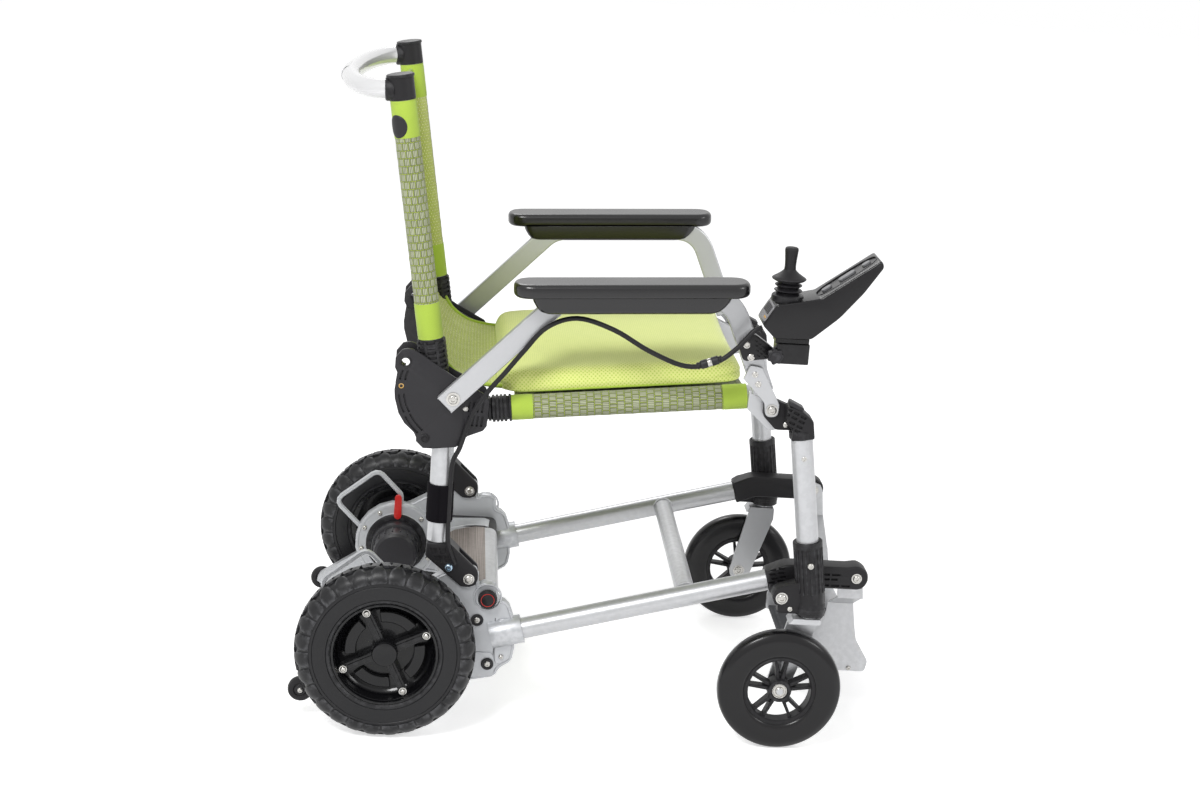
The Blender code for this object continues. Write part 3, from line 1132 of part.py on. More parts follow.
def make_caster_wheel(side, body):
    """Tyre moulded on a wheel with five pairs of spokes."""
    centre = (WHEEL_BASE, side * CASTER_WHEEL_Y, CASTER_AXLE_Z)
    half = CASTER_TYRE_W / 2
    r, rim = CASTER_TYRE_R, CASTER_RIM_R
    wheel = turned("caster_wheel_" + side_name(side), [
        (-half + 0.003, rim - 0.004), (-half, rim + 0.006), (-half + 0.003, r - 0.010), (-0.005, r), (0.005, r),
        (half - 0.003, r - 0.010), (half, rim + 0.006), (half - 0.003, rim - 0.004),
    ], centre, (0, side, 0), CASTER_SIDES)
    hub = rod("hub", (centre[0], side * (CASTER_WHEEL_Y - half + 0.002), centre[2]),
              (centre[0], side * (CASTER_WHEEL_Y + half - 0.002), centre[2]), CASTER_HUB_R, 10)
    turn = frame_along((0, side, 0)).to_4x4()
    for k in range(CASTER_SPOKE_PAIRS):
        for lean in (-1, 1):
            angle = math.pi / 2 + k * 2 * math.pi / CASTER_SPOKE_PAIRS + lean * math.radians(11)
            spoke = block("spoke", (CASTER_HUB_R - 0.003, -0.0028, -0.007), (rim - 0.003, 0.0028, 0.007))
            spoke.data.transform(Matrix.Translation(centre) @ turn @ Matrix.Rotation(angle, 4, "Z"))
            join(wheel, spoke)
    join(wheel, hub)
    bore = bore_rod("axle bore", (centre[0], centre[2]), side, CASTER_WHEEL_Y - 0.03, CASTER_WHEEL_Y + 0.03,
                     CASTER_AXLE_R + RUNNING_GAP, 8)
    cut(wheel, bore)
    return fit(wheel, body, "black rubber")


def make_foot_plate(side, body):
    """Joggled side plate that hangs from the front arm and carries the footboard."""
    x, z = FRONT_ARM_END
    joggle_top, joggle_bottom = 0.205, 0.172
    upper = side_slab("footrest_plate_" + side_name(side), rounded([
        (x - 0.0130, z + 0.0130, 0.013), (x - 0.0190, z - 0.020, 0.004), (x - 0.0180, joggle_top - 0.002, 0),
        (x + 0.0190, joggle_top - 0.002, 0), (x + 0.0130, z + 0.0130, 0.013),
    ]), side, FOOT_PLATE_UPPER_Y - FOOT_PLATE_T / 2, FOOT_PLATE_UPPER_Y + FOOT_PLATE_T / 2)
    bm = bmesh.new()
    half = FOOT_PLATE_T / 2
    lean = (FOOT_PLATE_UPPER_Y - FOOT_PLATE_LOWER_Y) / (joggle_top - joggle_bottom)
    shift = half * math.hypot(1, lean) - half
    corners = []
    for px in (x - 0.0180, x + 0.0190):
        corners.append([bm.verts.new((px, side * a, b)) for a, b in (
            (FOOT_PLATE_UPPER_Y + half, joggle_top), (FOOT_PLATE_UPPER_Y - half, joggle_top),
            (FOOT_PLATE_LOWER_Y - half, joggle_bottom - 0.001), (FOOT_PLATE_LOWER_Y + half, joggle_bottom - 0.001))])
    for c in range(4):
        d = (c + 1) % 4
        bm.faces.new((corners[0][c], corners[0][d], corners[1][d], corners[1][c]))
    bm.faces.new(corners[0])
    bm.faces.new(corners[1])
    joggle = add_object("joggle", bm)
    lower = side_slab("lower plate", rounded([
        (x - 0.0180, joggle_bottom + 0.001, 0), (x - 0.0200, 0.150, 0.020), (x - 0.0460, 0.120, 0.030),
        (FOOTBOARD_REAR_X, FOOTBOARD_Z + 0.030, 0.012), (FOOTBOARD_REAR_X, FOOTBOARD_Z, 0.004),
        (FOOTBOARD_FRONT_X + 0.002, FOOTBOARD_Z - 0.001, 0.006), (FOOTBOARD_FRONT_X + 0.005, FOOTBOARD_Z + 0.016, 0.008),
        (FOOTBOARD_FRONT_X - 0.016, FOOTBOARD_Z + 0.050, 0.030), (x + 0.0240, 0.140, 0.030),
        (x + 0.0190, joggle_bottom + 0.001, 0),
    ]), side, FOOT_PLATE_LOWER_Y - half, FOOT_PLATE_LOWER_Y + half)
    bore = bore_rod("footrest bore", FRONT_ARM_END, side, FOOT_PLATE_UPPER_Y - 0.01, FOOT_PLATE_UPPER_Y + 0.01,
                     PIVOT_PIN_R + PIVOT_CLEARANCE, 10)
    join(upper, joggle, lower)
    cut(upper, bore)
    return fit(upper, body, "silver")


def make_footboard(body):
    """Dark board between the side plates, with a row of grip ribs along its top."""
    half = FOOT_PLATE_LOWER_Y - FOOT_PLATE_T / 2 - RUNNING_GAP
    board = block("footboard", (FOOTBOARD_REAR_X + 0.004, -half, FOOTBOARD_Z + 0.001),
                  (FOOTBOARD_FRONT_X - 0.004, half, FOOTBOARD_Z + 0.001 + FOOTBOARD_T), 0.001, 1)
    ribs = 5
    pitch = (FOOTBOARD_FRONT_X - FOOTBOARD_REAR_X - 0.024) / (ribs - 1)
    for k in range(ribs):
        x = FOOTBOARD_REAR_X + 0.012 + k * pitch
        rib = block("grip rib", (x - 0.002, -half + 0.012, FOOTBOARD_Z + FOOTBOARD_T),
                    (x + 0.002, half - 0.012, FOOTBOARD_Z + FOOTBOARD_T + 0.0022))
        join(board, rib)
    return fit(board, body, "dark grey")


def controller_outline(grow=0.0):
    return rounded([
        (0.4900 - grow, 0.5960 - grow, 0.008), (0.5500, 0.5985 - grow, 0.020), (0.6270 + grow, 0.6850 - grow, 0.016),
        (0.6400 + grow, 0.7060, 0.008), (0.6330, 0.7165 + grow, 0.004), (0.5560, 0.6600 + grow, 0.006),
        (0.5350, 0.6550 + grow, 0.004), (0.4985, 0.6480 + grow, 0.006), (0.4815 - grow, 0.6190, 0.010),
    ])


def make_controller(body):
    """Joystick housing with the clamp block and bracket that hold it on the right armrest."""
    y = -CONTROLLER_Y
    half = CONTROLLER_W / 2
    housing = slab("controller_housing", controller_outline(), y - half, y + half)
    soften(housing, 0.004)
    clamp = block("clamp block", (0.5050, y - 0.016, 0.5620), (0.5500, y + 0.0165, 0.5990), 0.003, 1)
    bracket = side_slab("bracket", rounded([
        (0.4560, 0.5800, 0.006), (0.4600, 0.5620, 0.006), (0.5080, 0.5660, 0), (0.5080, 0.5950, 0), (0.4700, 0.6010, 0.006),
    ]), -1, ARM_OUT_Y + RUNNING_GAP, ARM_OUT_Y + 0.0160)
    join(housing, clamp, bracket)
    well = rod("joystick well", (JOYSTICK[0], y, JOYSTICK[1] - 0.010), (JOYSTICK[0], y, JOYSTICK[1] + 0.03),
               0.0157, 12)
    gimbal_bore = rod("gimbal bore", (JOYSTICK[0] - 0.0175, y, JOYSTICK[1]), (JOYSTICK[0] + 0.0175, y, JOYSTICK[1]),
                      STICK_PIN_R + 0.0005, 6)
    cut(housing, well, gimbal_bore)
    for centre, length, width in BUTTONS.values():
        cut(housing, button_block("button pocket", centre, length + 0.0008, width + 0.0008, -0.0042, 0.012))
    return fit(housing, body, "black plastic")


def panel_point(along):
    """A place on the sloping button panel, counted from its lower edge."""
    low, high = Vector((0.5560, 0.6600)), Vector((0.6330, 0.7165))
    return low + (high - low).normalized() * along


def panel_turn():
    low, high = Vector((0.5560, 0.6600)), Vector((0.6330, 0.7165))
    run = high - low
    return Matrix.Rotation(-math.atan2(run[1], run[0]), 4, "Y")


def button_block(name, along, length, width, low, high):
    """A key with rounded corners that stands square on the button panel."""
    bm = bmesh.new()
    bmesh.ops.create_cone(bm, cap_ends=True, segments=12, radius1=0.5, radius2=0.5, depth=1.0)
    corner = min(length, width)
    for v in bm.verts:
        v.co.x = v.co.x * corner + math.copysign((length - corner) / 2, v.co.x)
        v.co.y = v.co.y * corner + math.copysign((width - corner) / 2, v.co.y)
        v.co.z = low + (v.co.z + 0.5) * (high - low)
    centre = panel_point(along)
    bm.transform(Matrix.Translation((centre[0], -CONTROLLER_Y, centre[1])) @ panel_turn())
    return add_object(name, bm)


def make_button(name, body):
    centre, length, width = BUTTONS[name]
    key = button_block(name, centre, length, width, -0.0042 + BUTTON_TRAVEL + RUNNING_GAP, 0.0016)
    return fit(key, body, "dark grey")


def make_boot(body):
    """Stiff lower part of the joystick's boot: a gimbal ring that tilts sideways on two pins."""
    base = Vector((JOYSTICK[0], -CONTROLLER_Y, JOYSTICK[1]))
    profile = [(-0.0040, 0.0105), (-0.0040, 0.0146), (0.0040, 0.0146), (0.0070, 0.0120), (0.0110, 0.0130),
               (0.0150, 0.0114), (0.0195, 0.0126), (0.0255, 0.0112), (0.0255, 0.0101)]
    boot = turned("joystick_boot", profile, base, (0, 0, 1), 12)
    for way in (-1, 1):
        join(boot, rod("gimbal pin", base + Vector((way * 0.0130, 0, 0)), base + Vector((way * 0.0168, 0, 0)),
                       STICK_PIN_R, 6))
    bore = rod("stick bore", base - Vector((0, 0.0132, 0)), base + Vector((0, 0.0132, 0)), STICK_PIN_R + 0.0005, 6)
    cut(boot, bore)
    return fit(boot, body, "black rubber")


def make_joystick(body):
    """Stick with its cross pin, and the knob with a skirt over the boot."""
    base = Vector((JOYSTICK[0], -CONTROLLER_Y, JOYSTICK[1]))
    profile = [(-0.0040, 0), (-0.0040, 0.0025), (0.0300, 0.0025), (0.0300, 0.0090), (0.0460, 0.0062),
               (0.0490, 0.0084), (0.0620, 0.0073), (0.0720, 0.0082), (0.0772, 0.0060), (0.0772, 0)]
    stick = turned("joystick", profile, base, (0, 0, 1), 10)
    pin = rod("stick pin", base - Vector((0, 0.0126, 0)), base + Vector((0, 0.0126, 0)), STICK_PIN_R, 6)
    join(stick, pin)
    return fit(stick, body, "black plastic")


def make_cable(name, route, plugs, body):
    """A cable along its route, with the plugs that join its lengths."""
    cable = bent_bar(name, smooth_route(route, 2), CABLE_R, 1)
    for start, end, radius in plugs:
        join(cable, rod("plug", start, end, radius, 8))
    return fit(cable, body, "black rubber")


chair = empty("chair", (0, 0, 0))
chair.location.x = -CENTRE_X
rear_frame = empty("rear frame", at(LEG_PIVOT, 0), chair)
seat = empty("seat", at(SEAT_PIVOT, 0), rear_frame)
footrest = empty("footrest", at(FRONT_ARM_END, 0), chair)

make_base_frame(chair)
make_battery(chair)
make_push_handle(rear_frame)
make_back_sling(rear_frame)
make_cushion(seat)
make_footboard(footrest)

for side in (-1, 1):
    name = side_name(side)
    make_casting(side, chair)
    make_motor(side, chair)
    make_front_arm(side, chair)
    make_lock_knob(side, empty("lock knob " + name, (KNOB_X, side * CASTING_OUT_Y, KNOB_Z), chair))
    make_release_lever(side, empty("release lever " + name, at(LEVER_PIVOT, side * FLANGE_IN_Y), chair))
    make_tip_wheel(side, empty("anti-tip wheel " + name, (TIP_WHEEL_X, side * TIP_WHEEL_Y, TIP_WHEEL_Z), chair))
    make_drive_wheel(side, empty("drive wheel " + name, (0, side * DRIVE_WHEEL_Y, DRIVE_AXLE_Z), chair))
    make_foot_plate(side, footrest)

    make_rear_leg(side, rear_frame)
    make_leg_foot(side, rear_frame)
    make_back_hinge(side, rear_frame)
    make_back_post(side, rear_frame)
    make_post_cap(side, rear_frame)
    make_seat_rail(side, seat)
    make_rail_socket(side, seat)

    armrest = empty("armrest " + name, at(ARM_PIVOT, side * ARM_IN_Y), rear_frame)
    make_arm_tube(side, armrest)
    make_arm_pad(side, armrest)

    front_leg = empty("front leg " + name, at(LEG_FRONT_PIVOT, side * EAR_IN_Y), chair)
    make_knuckle(side, front_leg)
    make_front_leg(side, front_leg)
    make_leg_sleeve(side, front_leg)
    fork = empty("caster fork " + name, (STEM_X, side * FRONT_LEG_Y, COLLAR_BOTTOM_Z), front_leg)
    make_caster_fork(side, fork)
    make_caster_wheel(side, empty("caster wheel " + name, (WHEEL_BASE, side * CASTER_WHEEL_Y, CASTER_AXLE_Z), fork))

    if side < 0:
        make_controller(armrest)
        stick_place = (JOYSTICK[0], -CONTROLLER_Y, JOYSTICK[1])
        gimbal = empty("joystick gimbal", stick_place, armrest)
        make_boot(gimbal)
        make_joystick(empty("joystick stick", stick_place, gimbal))
        for key in BUTTONS:
            place = panel_point(BUTTONS[key][0])
            make_button(key, empty(key.replace("_", " "), (place[0], -CONTROLLER_Y, place[1]), armrest))
        make_cable("arm_cable", ARM_CABLE, ARM_PLUGS, armrest)
        make_cable("leg_cable", LEG_CABLE, (), rear_frame)
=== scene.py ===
"""Folding power wheelchair: finishes, cloth, padding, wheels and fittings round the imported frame.

Everything is modelled in metres with X counted from the rear axle, as a maker measures
the chair, and is moved by CHAIR_X into the frame when a piece is finished.
"""

from math import atan2, copysign, cos, degrees, hypot, pi, radians, sin, sqrt, tan

import bmesh
import bpy
from mathutils import Matrix, Vector


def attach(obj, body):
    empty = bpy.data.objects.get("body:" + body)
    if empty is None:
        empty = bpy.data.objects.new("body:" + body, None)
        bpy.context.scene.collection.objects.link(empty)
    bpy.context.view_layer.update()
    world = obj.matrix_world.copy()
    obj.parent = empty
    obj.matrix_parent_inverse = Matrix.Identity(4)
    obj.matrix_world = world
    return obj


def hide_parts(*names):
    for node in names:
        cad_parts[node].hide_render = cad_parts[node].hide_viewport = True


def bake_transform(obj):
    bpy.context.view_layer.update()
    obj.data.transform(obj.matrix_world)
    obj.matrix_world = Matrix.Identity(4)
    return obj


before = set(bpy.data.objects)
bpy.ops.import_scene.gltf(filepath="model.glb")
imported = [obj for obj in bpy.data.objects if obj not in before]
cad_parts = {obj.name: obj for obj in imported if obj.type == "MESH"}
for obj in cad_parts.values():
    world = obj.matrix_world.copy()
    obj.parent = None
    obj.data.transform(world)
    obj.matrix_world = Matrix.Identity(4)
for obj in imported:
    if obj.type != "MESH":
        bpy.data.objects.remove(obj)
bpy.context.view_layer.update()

CHAIR_X = -0.286
SIDES = {"right": -1, "left": 1}
DRIVE_AXLE_Z = 0.127 * cos(pi / 24)
CASTER_AXLE_Z = 0.089 * cos(pi / 20)
DRIVE_Y, CASTER_X, CASTER_Y = 0.271, 0.556, 0.256
POST_FOOT, POST_HEAD = Vector((0.0405, 0.555)), Vector((-0.016, 0.9))
RAIL_REAR, RAIL_FRONT = Vector((0.156, 0.4636)), Vector((0.481, 0.4982))
FRAME_Y, FRAME_R = 0.202, 0.0157
LEG_X = 0.065
LEG_PIVOT, SEAT_PIVOT, ARM_PIVOT = (0.111, 0.215), (0.093, 0.464), (0.075, 0.481)
LINK = (0.436, 0.01)
LEG_JOINT, SEAT_JOINT, ARM_JOINT = ((x + LINK[0], z + LINK[1]) for x, z in (LEG_PIVOT, SEAT_PIVOT, ARM_PIVOT))
POST_WAY, RAIL_WAY = (POST_HEAD - POST_FOOT).normalized(), (RAIL_FRONT - RAIL_REAR).normalized()
STEM_X, STEM_FOOT_Z, STEM_TILT = 0.59, 0.222, tan(radians(8.6))
FRONT_LEG_Y, FRONT_LEG_R = 0.251, 0.0153
FIRST_SPOKE, BOLT_CIRCLE = 26, 0.0625
ROLLER_X, ROLLER_Z = -0.117, 0.044
LOCK_X, LOCK_Z = 0.139, 0.187
CLAMP_KNOB = (0.5043, -0.266, 0.5742)


def mm(*values):
    """Lengths in millimetres, or points made of them, turned into metres."""
    return [tuple(mm(*value)) if isinstance(value, tuple) else round(value / 1000, 7) for value in values]


def at(point, y):
    """A point (x, z) set at a place across the chair."""
    return (point[0], y, point[1])


# Colours and finishes

def shade(red, green, blue):
    """A colour on the 0 to 255 scale as the shader wants it."""
    return tuple((c / 255 / 12.92) if c <= 10 else ((c / 255 + 0.055) / 1.055) ** 2.4
        for c in (red, green, blue)) + (1.0,)


def add(tree, kind, inputs=None, **settings):
    """A shader node with its settings, its values and the sockets that feed it."""
    node = tree.nodes.new(kind)
    for key, value in settings.items():
        setattr(node, key, value)
    for key, value in (inputs or {}).items():
        if isinstance(value, bpy.types.NodeSocket):
            tree.links.new(value, node.inputs[key])
        else:
            node.inputs[key].default_value = value
    return node


def math_node(tree, operation, a, b=0.5, clamp=False):
    """The result of one sum on two values or sockets."""
    return add(tree, "ShaderNodeMath", {0: a, 1: b}, operation=operation, use_clamp=clamp).outputs[0]


def mix_colour(tree, factor, first, second, blend="MIX"):
    node = add(tree, "ShaderNodeMix", data_type="RGBA", blend_type=blend)
    for socket, value in ((node.inputs[0], factor), (node.inputs[6], first), (node.inputs[7], second)):
        if isinstance(value, bpy.types.NodeSocket):
            tree.links.new(value, socket)
        else:
            socket.default_value = value
    return node.outputs[2]


def ramp(tree, factor, low, high, first=(0, 0, 0, 1), second=(1, 1, 1, 1)):
    node = add(tree, "ShaderNodeValToRGB", {0: factor})
    node.color_ramp.elements[0].position, node.color_ramp.elements[1].position = low, high
    node.color_ramp.elements[0].color, node.color_ramp.elements[1].color = first, second
    return node.outputs[0]


def shader_group(name, inputs, outputs):
    """An empty node group with named sockets, and its input and output nodes."""
    tree = bpy.data.node_groups.new(name, "ShaderNodeTree")
    for way, sockets in (("INPUT", inputs), ("OUTPUT", outputs)):
        for socket, kind, value in sockets:
            made = tree.interface.new_socket(name=socket, in_out=way, socket_type="NodeSocket" + kind)
            if value is not None:
                made.default_value = value
    return tree, tree.nodes.new("NodeGroupInput"), tree.nodes.new("NodeGroupOutput")


def grain_group():
    """Fine grain: a colour that drifts a little, a mask for roughness, and a bumped normal."""
    tree, given, out = shader_group("surface grain", [("Colour", "Color", (0.5, 0.5, 0.5, 1)),
        ("Drift", "Float", 0.1), ("Scale", "Float", 400.0), ("Bump", "Float", 0.1), ("Depth", "Float", 0.0002)],
        [("Colour", "Color", None), ("Mask", "Float", None), ("Normal", "Vector", None)])
    place = tree.nodes.new("ShaderNodeTexCoord").outputs["Object"]
    fine = add(tree, "ShaderNodeTexNoise", {"Vector": place, "Scale": given.outputs["Scale"], "Detail": 4.0})
    broad = add(tree, "ShaderNodeTexNoise", {"Vector": place, "Scale": 9.0, "Detail": 3.0})
    both = math_node(tree, "ADD", math_node(tree, "MULTIPLY", fine.outputs["Fac"], 0.35),
        math_node(tree, "MULTIPLY", broad.outputs["Fac"], 0.65))
    darker = mix_colour(tree, 1.0, given.outputs["Colour"], (0.55, 0.55, 0.57, 1), "MULTIPLY")
    amount = math_node(tree, "MULTIPLY", both, given.outputs["Drift"], True)
    bump = add(tree, "ShaderNodeBump", {"Strength": given.outputs["Bump"], "Distance": given.outputs["Depth"],
        "Height": fine.outputs["Fac"]})
    tree.links.new(mix_colour(tree, amount, given.outputs["Colour"], darker), out.inputs["Colour"])
    tree.links.new(both, out.inputs["Mask"])
    tree.links.new(bump.outputs[0], out.inputs["Normal"])
    return tree


def edge_wear_and_highlight_group():
    """Rubbed edges, partly painted highlight: the worn-through colour shows where the surface turns sharply, broken
    up by scratches; on the tyre it also paints the highlight on its blocks' edges.
    """
    tree, given, out = shader_group("rubbed edges and edge highlights", [("Colour", "Color", (0.5, 0.5, 0.5, 1)),
        ("Bare and highlight", "Color", (0.8, 0.8, 0.8, 1)), ("Amount", "Float", 0.5)],
        [("Colour", "Color", None), ("Mask", "Float", None)])
    place = tree.nodes.new("ShaderNodeTexCoord").outputs["Object"]
    edge = ramp(tree, tree.nodes.new("ShaderNodeNewGeometry").outputs["Pointiness"], 0.53, 0.6)
    scratch = ramp(tree, add(tree, "ShaderNodeTexNoise",
        {"Vector": place, "Scale": 130.0, "Detail": 6.0}).outputs["Fac"], 0.42, 0.62)
    mask = math_node(tree, "MULTIPLY", math_node(tree, "MULTIPLY", edge, scratch), given.outputs["Amount"], True)
    tree.links.new(mix_colour(tree, mask, given.outputs["Colour"], given.outputs["Bare and highlight"]), out.inputs["Colour"])
    tree.links.new(mask, out.inputs["Mask"])
    return tree


def weave_group():
    """Basket weave on the piece's own UV, in metres: bundles of pale strands with painted shade in their troughs,
    gaps of painted shade, and lime threads between.
    """
    tree, given, out = shader_group("basket weave", [("Bundle", "Color", (0.3, 0.3, 0.25, 1)),
        ("Shadow", "Color", (0.05, 0.05, 0.04, 1)), ("Thread", "Color", (0.5, 0.6, 0.1, 1)),
        ("Width", "Float", 0.006), ("Height", "Float", 0.007)],
        [("Colour", "Color", None), ("Height", "Float", None)])
    place = tree.nodes.new("ShaderNodeTexCoord").outputs["UV"]

    def bricks(joint):
        return add(tree, "ShaderNodeTexBrick", {"Vector": place, "Color1": (0.84, 0.84, 0.84, 1),
            "Color2": (1, 1, 1, 1), "Mortar": (0, 0, 0, 1), "Scale": 1.0, "Mortar Size": joint, "Mortar Smooth": 0.35,
            "Bias": 0.0, "Brick Width": given.outputs["Width"], "Row Height": given.outputs["Height"]}, offset=0.5)

    thread, gap = bricks(0.00034), bricks(0.00105)
    side = add(tree, "ShaderNodeSeparateXYZ", {0: place}).outputs
    # Painted shade: the strands run from the Shadow colour in their troughs to the Bundle colour on their crowns, and
    # the gaps between bundles take the Shadow colour.
    strand = math_node(tree, "SINE", math_node(tree, "MULTIPLY", side[0], 2 * pi / 0.0021))
    strand = math_node(tree, "MULTIPLY_ADD", strand, 0.5)
    strand.node.inputs[2].default_value = 0.5
    bundle = mix_colour(tree, math_node(tree, "POWER", strand, 0.6, True), given.outputs["Shadow"],
        given.outputs["Bundle"])
    bundle = mix_colour(tree, 1.0, bundle, gap.outputs["Color"], "MULTIPLY")
    bundle = mix_colour(tree, math_node(tree, "MULTIPLY", gap.outputs["Fac"], 0.75, True), bundle,
        given.outputs["Shadow"])
    tree.links.new(mix_colour(tree, thread.outputs["Fac"], bundle, given.outputs["Thread"]), out.inputs["Colour"])
    raised = math_node(tree, "MULTIPLY", math_node(tree, "SUBTRACT", 1.0, gap.outputs["Fac"]),
        math_node(tree, "MULTIPLY_ADD", strand, 0.5))
    tree.links.new(math_node(tree, "MAXIMUM", raised, math_node(tree, "MULTIPLY", thread.outputs["Fac"], 0.8)),
        out.inputs["Height"])
    return tree


def knit_group():
    """Spacer knit on the piece's own UV, in metres: rows of small open cells."""
    tree, given, out = shader_group("spacer knit", [("Yarn", "Color", (0.5, 0.6, 0.1, 1)),
        ("Cell", "Color", (0.3, 0.45, 0.05, 1)), ("Pitch", "Float", 0.004), ("Open", "Float", 0.3)],
        [("Colour", "Color", None), ("Height", "Float", None)])
    place = tree.nodes.new("ShaderNodeTexCoord").outputs["UV"]
    turned = add(tree, "ShaderNodeMapping", {"Vector": place, "Rotation": (0, 0, radians(45))})
    cells = add(tree, "ShaderNodeTexVoronoi", {"Vector": turned.outputs[0], "Scale": math_node(tree, "DIVIDE", 1.0,
        given.outputs["Pitch"]), "Randomness": 0.0}, feature="F1")
    hole = math_node(tree, "LESS_THAN", cells.outputs["Distance"], given.outputs["Open"])
    soft = math_node(tree, "SUBTRACT", 1.0, math_node(tree, "DIVIDE", cells.outputs["Distance"], 0.55), True)
    tone = add(tree, "ShaderNodeTexNoise", {"Vector": place, "Scale": 60.0, "Detail": 3.0}).outputs["Fac"]
    mask = math_node(tree, "ADD", math_node(tree, "MULTIPLY", hole, 0.55), math_node(tree, "MULTIPLY", soft, 0.45),
        True)
    colour = mix_colour(tree, mask, given.outputs["Yarn"], given.outputs["Cell"])
    colour = mix_colour(tree, math_node(tree, "MULTIPLY", tone, 0.22), colour, given.outputs["Cell"])
    tree.links.new(colour, out.inputs["Colour"])
    tree.links.new(math_node(tree, "SUBTRACT", 1.0, soft), out.inputs["Height"])
    return tree


GRAIN, EDGE_WEAR_AND_HIGHLIGHT, WEAVE, KNIT = grain_group(), edge_wear_and_highlight_group(), weave_group(), knit_group()


def new_material(name, metallic, sockets):
    """A material with its Principled shader, ready for what feeds it."""
    material = bpy.data.materials.new(name)
    material.use_nodes = True
    tree = material.node_tree
    shader = tree.nodes["Principled BSDF"]
    shader.inputs["Metallic"].default_value = metallic
    for key, value in sockets.items():
        shader.inputs[key].default_value = value
    return material, tree, shader


def hard_finish(name, colour, metallic=0.0, rough=(0.35, 0.5), drift=0.3, scale=400.0, bump=0.1, edge_wear_and_highlight=0.0,
        bare_and_highlight=(200, 200, 200), brushed=None, specular=None, coat=None):
    """A rigid finish: grain over the colour, roughness that varies, and a lighter colour on its edges, which is
    rubbed wear and on the tyre also a painted highlight.
    """
    sockets = {} if specular is None else {"Specular IOR Level": specular}
    if coat:
        sockets["Coat Weight"], sockets["Coat Roughness"] = coat
    material, tree, shader = new_material(name, metallic, sockets)
    grain = add(tree, "ShaderNodeGroup", {"Colour": shade(*colour), "Drift": drift, "Scale": scale, "Bump": bump},
        node_tree=GRAIN)
    base = grain.outputs["Colour"]
    if brushed:
        place = tree.nodes.new("ShaderNodeTexCoord").outputs["Object"]
        lines = add(tree, "ShaderNodeMapping", {"Vector": place, "Scale": brushed})
        streak = add(tree, "ShaderNodeTexNoise", {"Vector": lines.outputs[0], "Scale": 1.0,
            "Detail": 5.0}).outputs["Fac"]
        dark = mix_colour(tree, 1.0, base, (0.42, 0.41, 0.4, 1), "MULTIPLY")
        base = mix_colour(tree, ramp(tree, streak, 0.35, 0.68), base, dark)
    # The lighter edge colour is rubbed wear; on the tyre it is also a painted highlight on the blocks' edges.
    worn_and_highlit = add(tree, "ShaderNodeGroup", {"Colour": base, "Bare and highlight": shade(*bare_and_highlight), "Amount": edge_wear_and_highlight}, node_tree=EDGE_WEAR_AND_HIGHLIGHT)
    tree.links.new(worn_and_highlit.outputs["Colour"], shader.inputs["Base Color"])
    spread = add(tree, "ShaderNodeMapRange", {0: grain.outputs["Mask"], 1: 0.3, 2: 0.7, 3: rough[0], 4: rough[1]})
    tree.links.new(spread.outputs[0], shader.inputs["Roughness"])
    tree.links.new(grain.outputs["Normal"], shader.inputs["Normal"])
    return material


def cloth_finish(name, group, values, rough=0.85, bump=0.5, depth=0.0004, sheen=0.25):
    """A woven or knitted finish on the piece's own UV."""
    material, tree, shader = new_material(name, 0.0, {"Roughness": rough, "Sheen Weight": sheen,
        "Sheen Roughness": 0.5, "Specular IOR Level": 0.25})
    cloth = add(tree, "ShaderNodeGroup", values, node_tree=group)
    grain = add(tree, "ShaderNodeGroup", {"Colour": cloth.outputs["Colour"], "Drift": 0.25, "Scale": 900.0,
        "Bump": 0.25, "Depth": 0.0002}, node_tree=GRAIN)
    tree.links.new(grain.outputs["Colour"], shader.inputs["Base Color"])
    raised = add(tree, "ShaderNodeBump", {"Strength": bump, "Distance": depth, "Height": cloth.outputs["Height"],
        "Normal": grain.outputs["Normal"]})
    tree.links.new(raised.outputs[0], shader.inputs["Normal"])
    return material


LIME = (190, 218, 88)
SILVER = hard_finish("satin silver tube", (192, 193, 195), 0.55, (0.31, 0.36), 0.1, 900.0, 0.02, 0.2, (235, 235, 238))
CAST = hard_finish("cast aluminium", (196, 198, 201), 0.45, (0.34, 0.46), 0.3, 700.0, 0.14, 0.5, (228, 228, 231))
BRIGHT = hard_finish("bright screw steel", (196, 194, 189), 0.9, (0.18, 0.34), 0.35, 600.0, 0.05, 0.3)
ZINC = hard_finish("blue zinc plating", (166, 188, 206), 0.9, (0.16, 0.3), 0.35, 500.0, 0.05, 0.2)
BRASS = hard_finish("brass", (190, 152, 84), 0.9, (0.22, 0.4), 0.4, 500.0, 0.05, 0.2)
HANDLE = hard_finish("glossy silver white", (226, 226, 227), 0.25, (0.16, 0.26), 0.12, 900.0, 0.02, 0.0,
    coat=(0.5, 0.12))
BLACK = hard_finish("black moulded plastic", (30, 29, 31), 0.0, (0.4, 0.56), 0.35, 1300.0, 0.22, 0.35, (84, 84, 87),
    specular=0.28)
PLATE_BLACK = hard_finish("smooth black moulding", (40, 39, 42), 0.0, (0.34, 0.48), 0.25, 1500.0, 0.12, 0.25,
    (95, 95, 98), specular=0.32)
HOUSING = hard_finish("controller black plastic", (20, 19, 21), 0.0, (0.22, 0.32), 0.25, 1500.0, 0.08, 0.2,
    (80, 80, 83), specular=0.34)
PAD_BLACK = hard_finish("soft black padding", (17, 16, 18), 0.0, (0.2, 0.3), 0.3, 1800.0, 0.1, 0.1, (80, 80, 84),
    specular=0.55)
GLOSS = hard_finish("gloss black paint", (15, 15, 17), 0.0, (0.16, 0.28), 0.3, 700.0, 0.04, 0.3, (80, 80, 83),
    specular=0.24, coat=(0.2, 0.1))
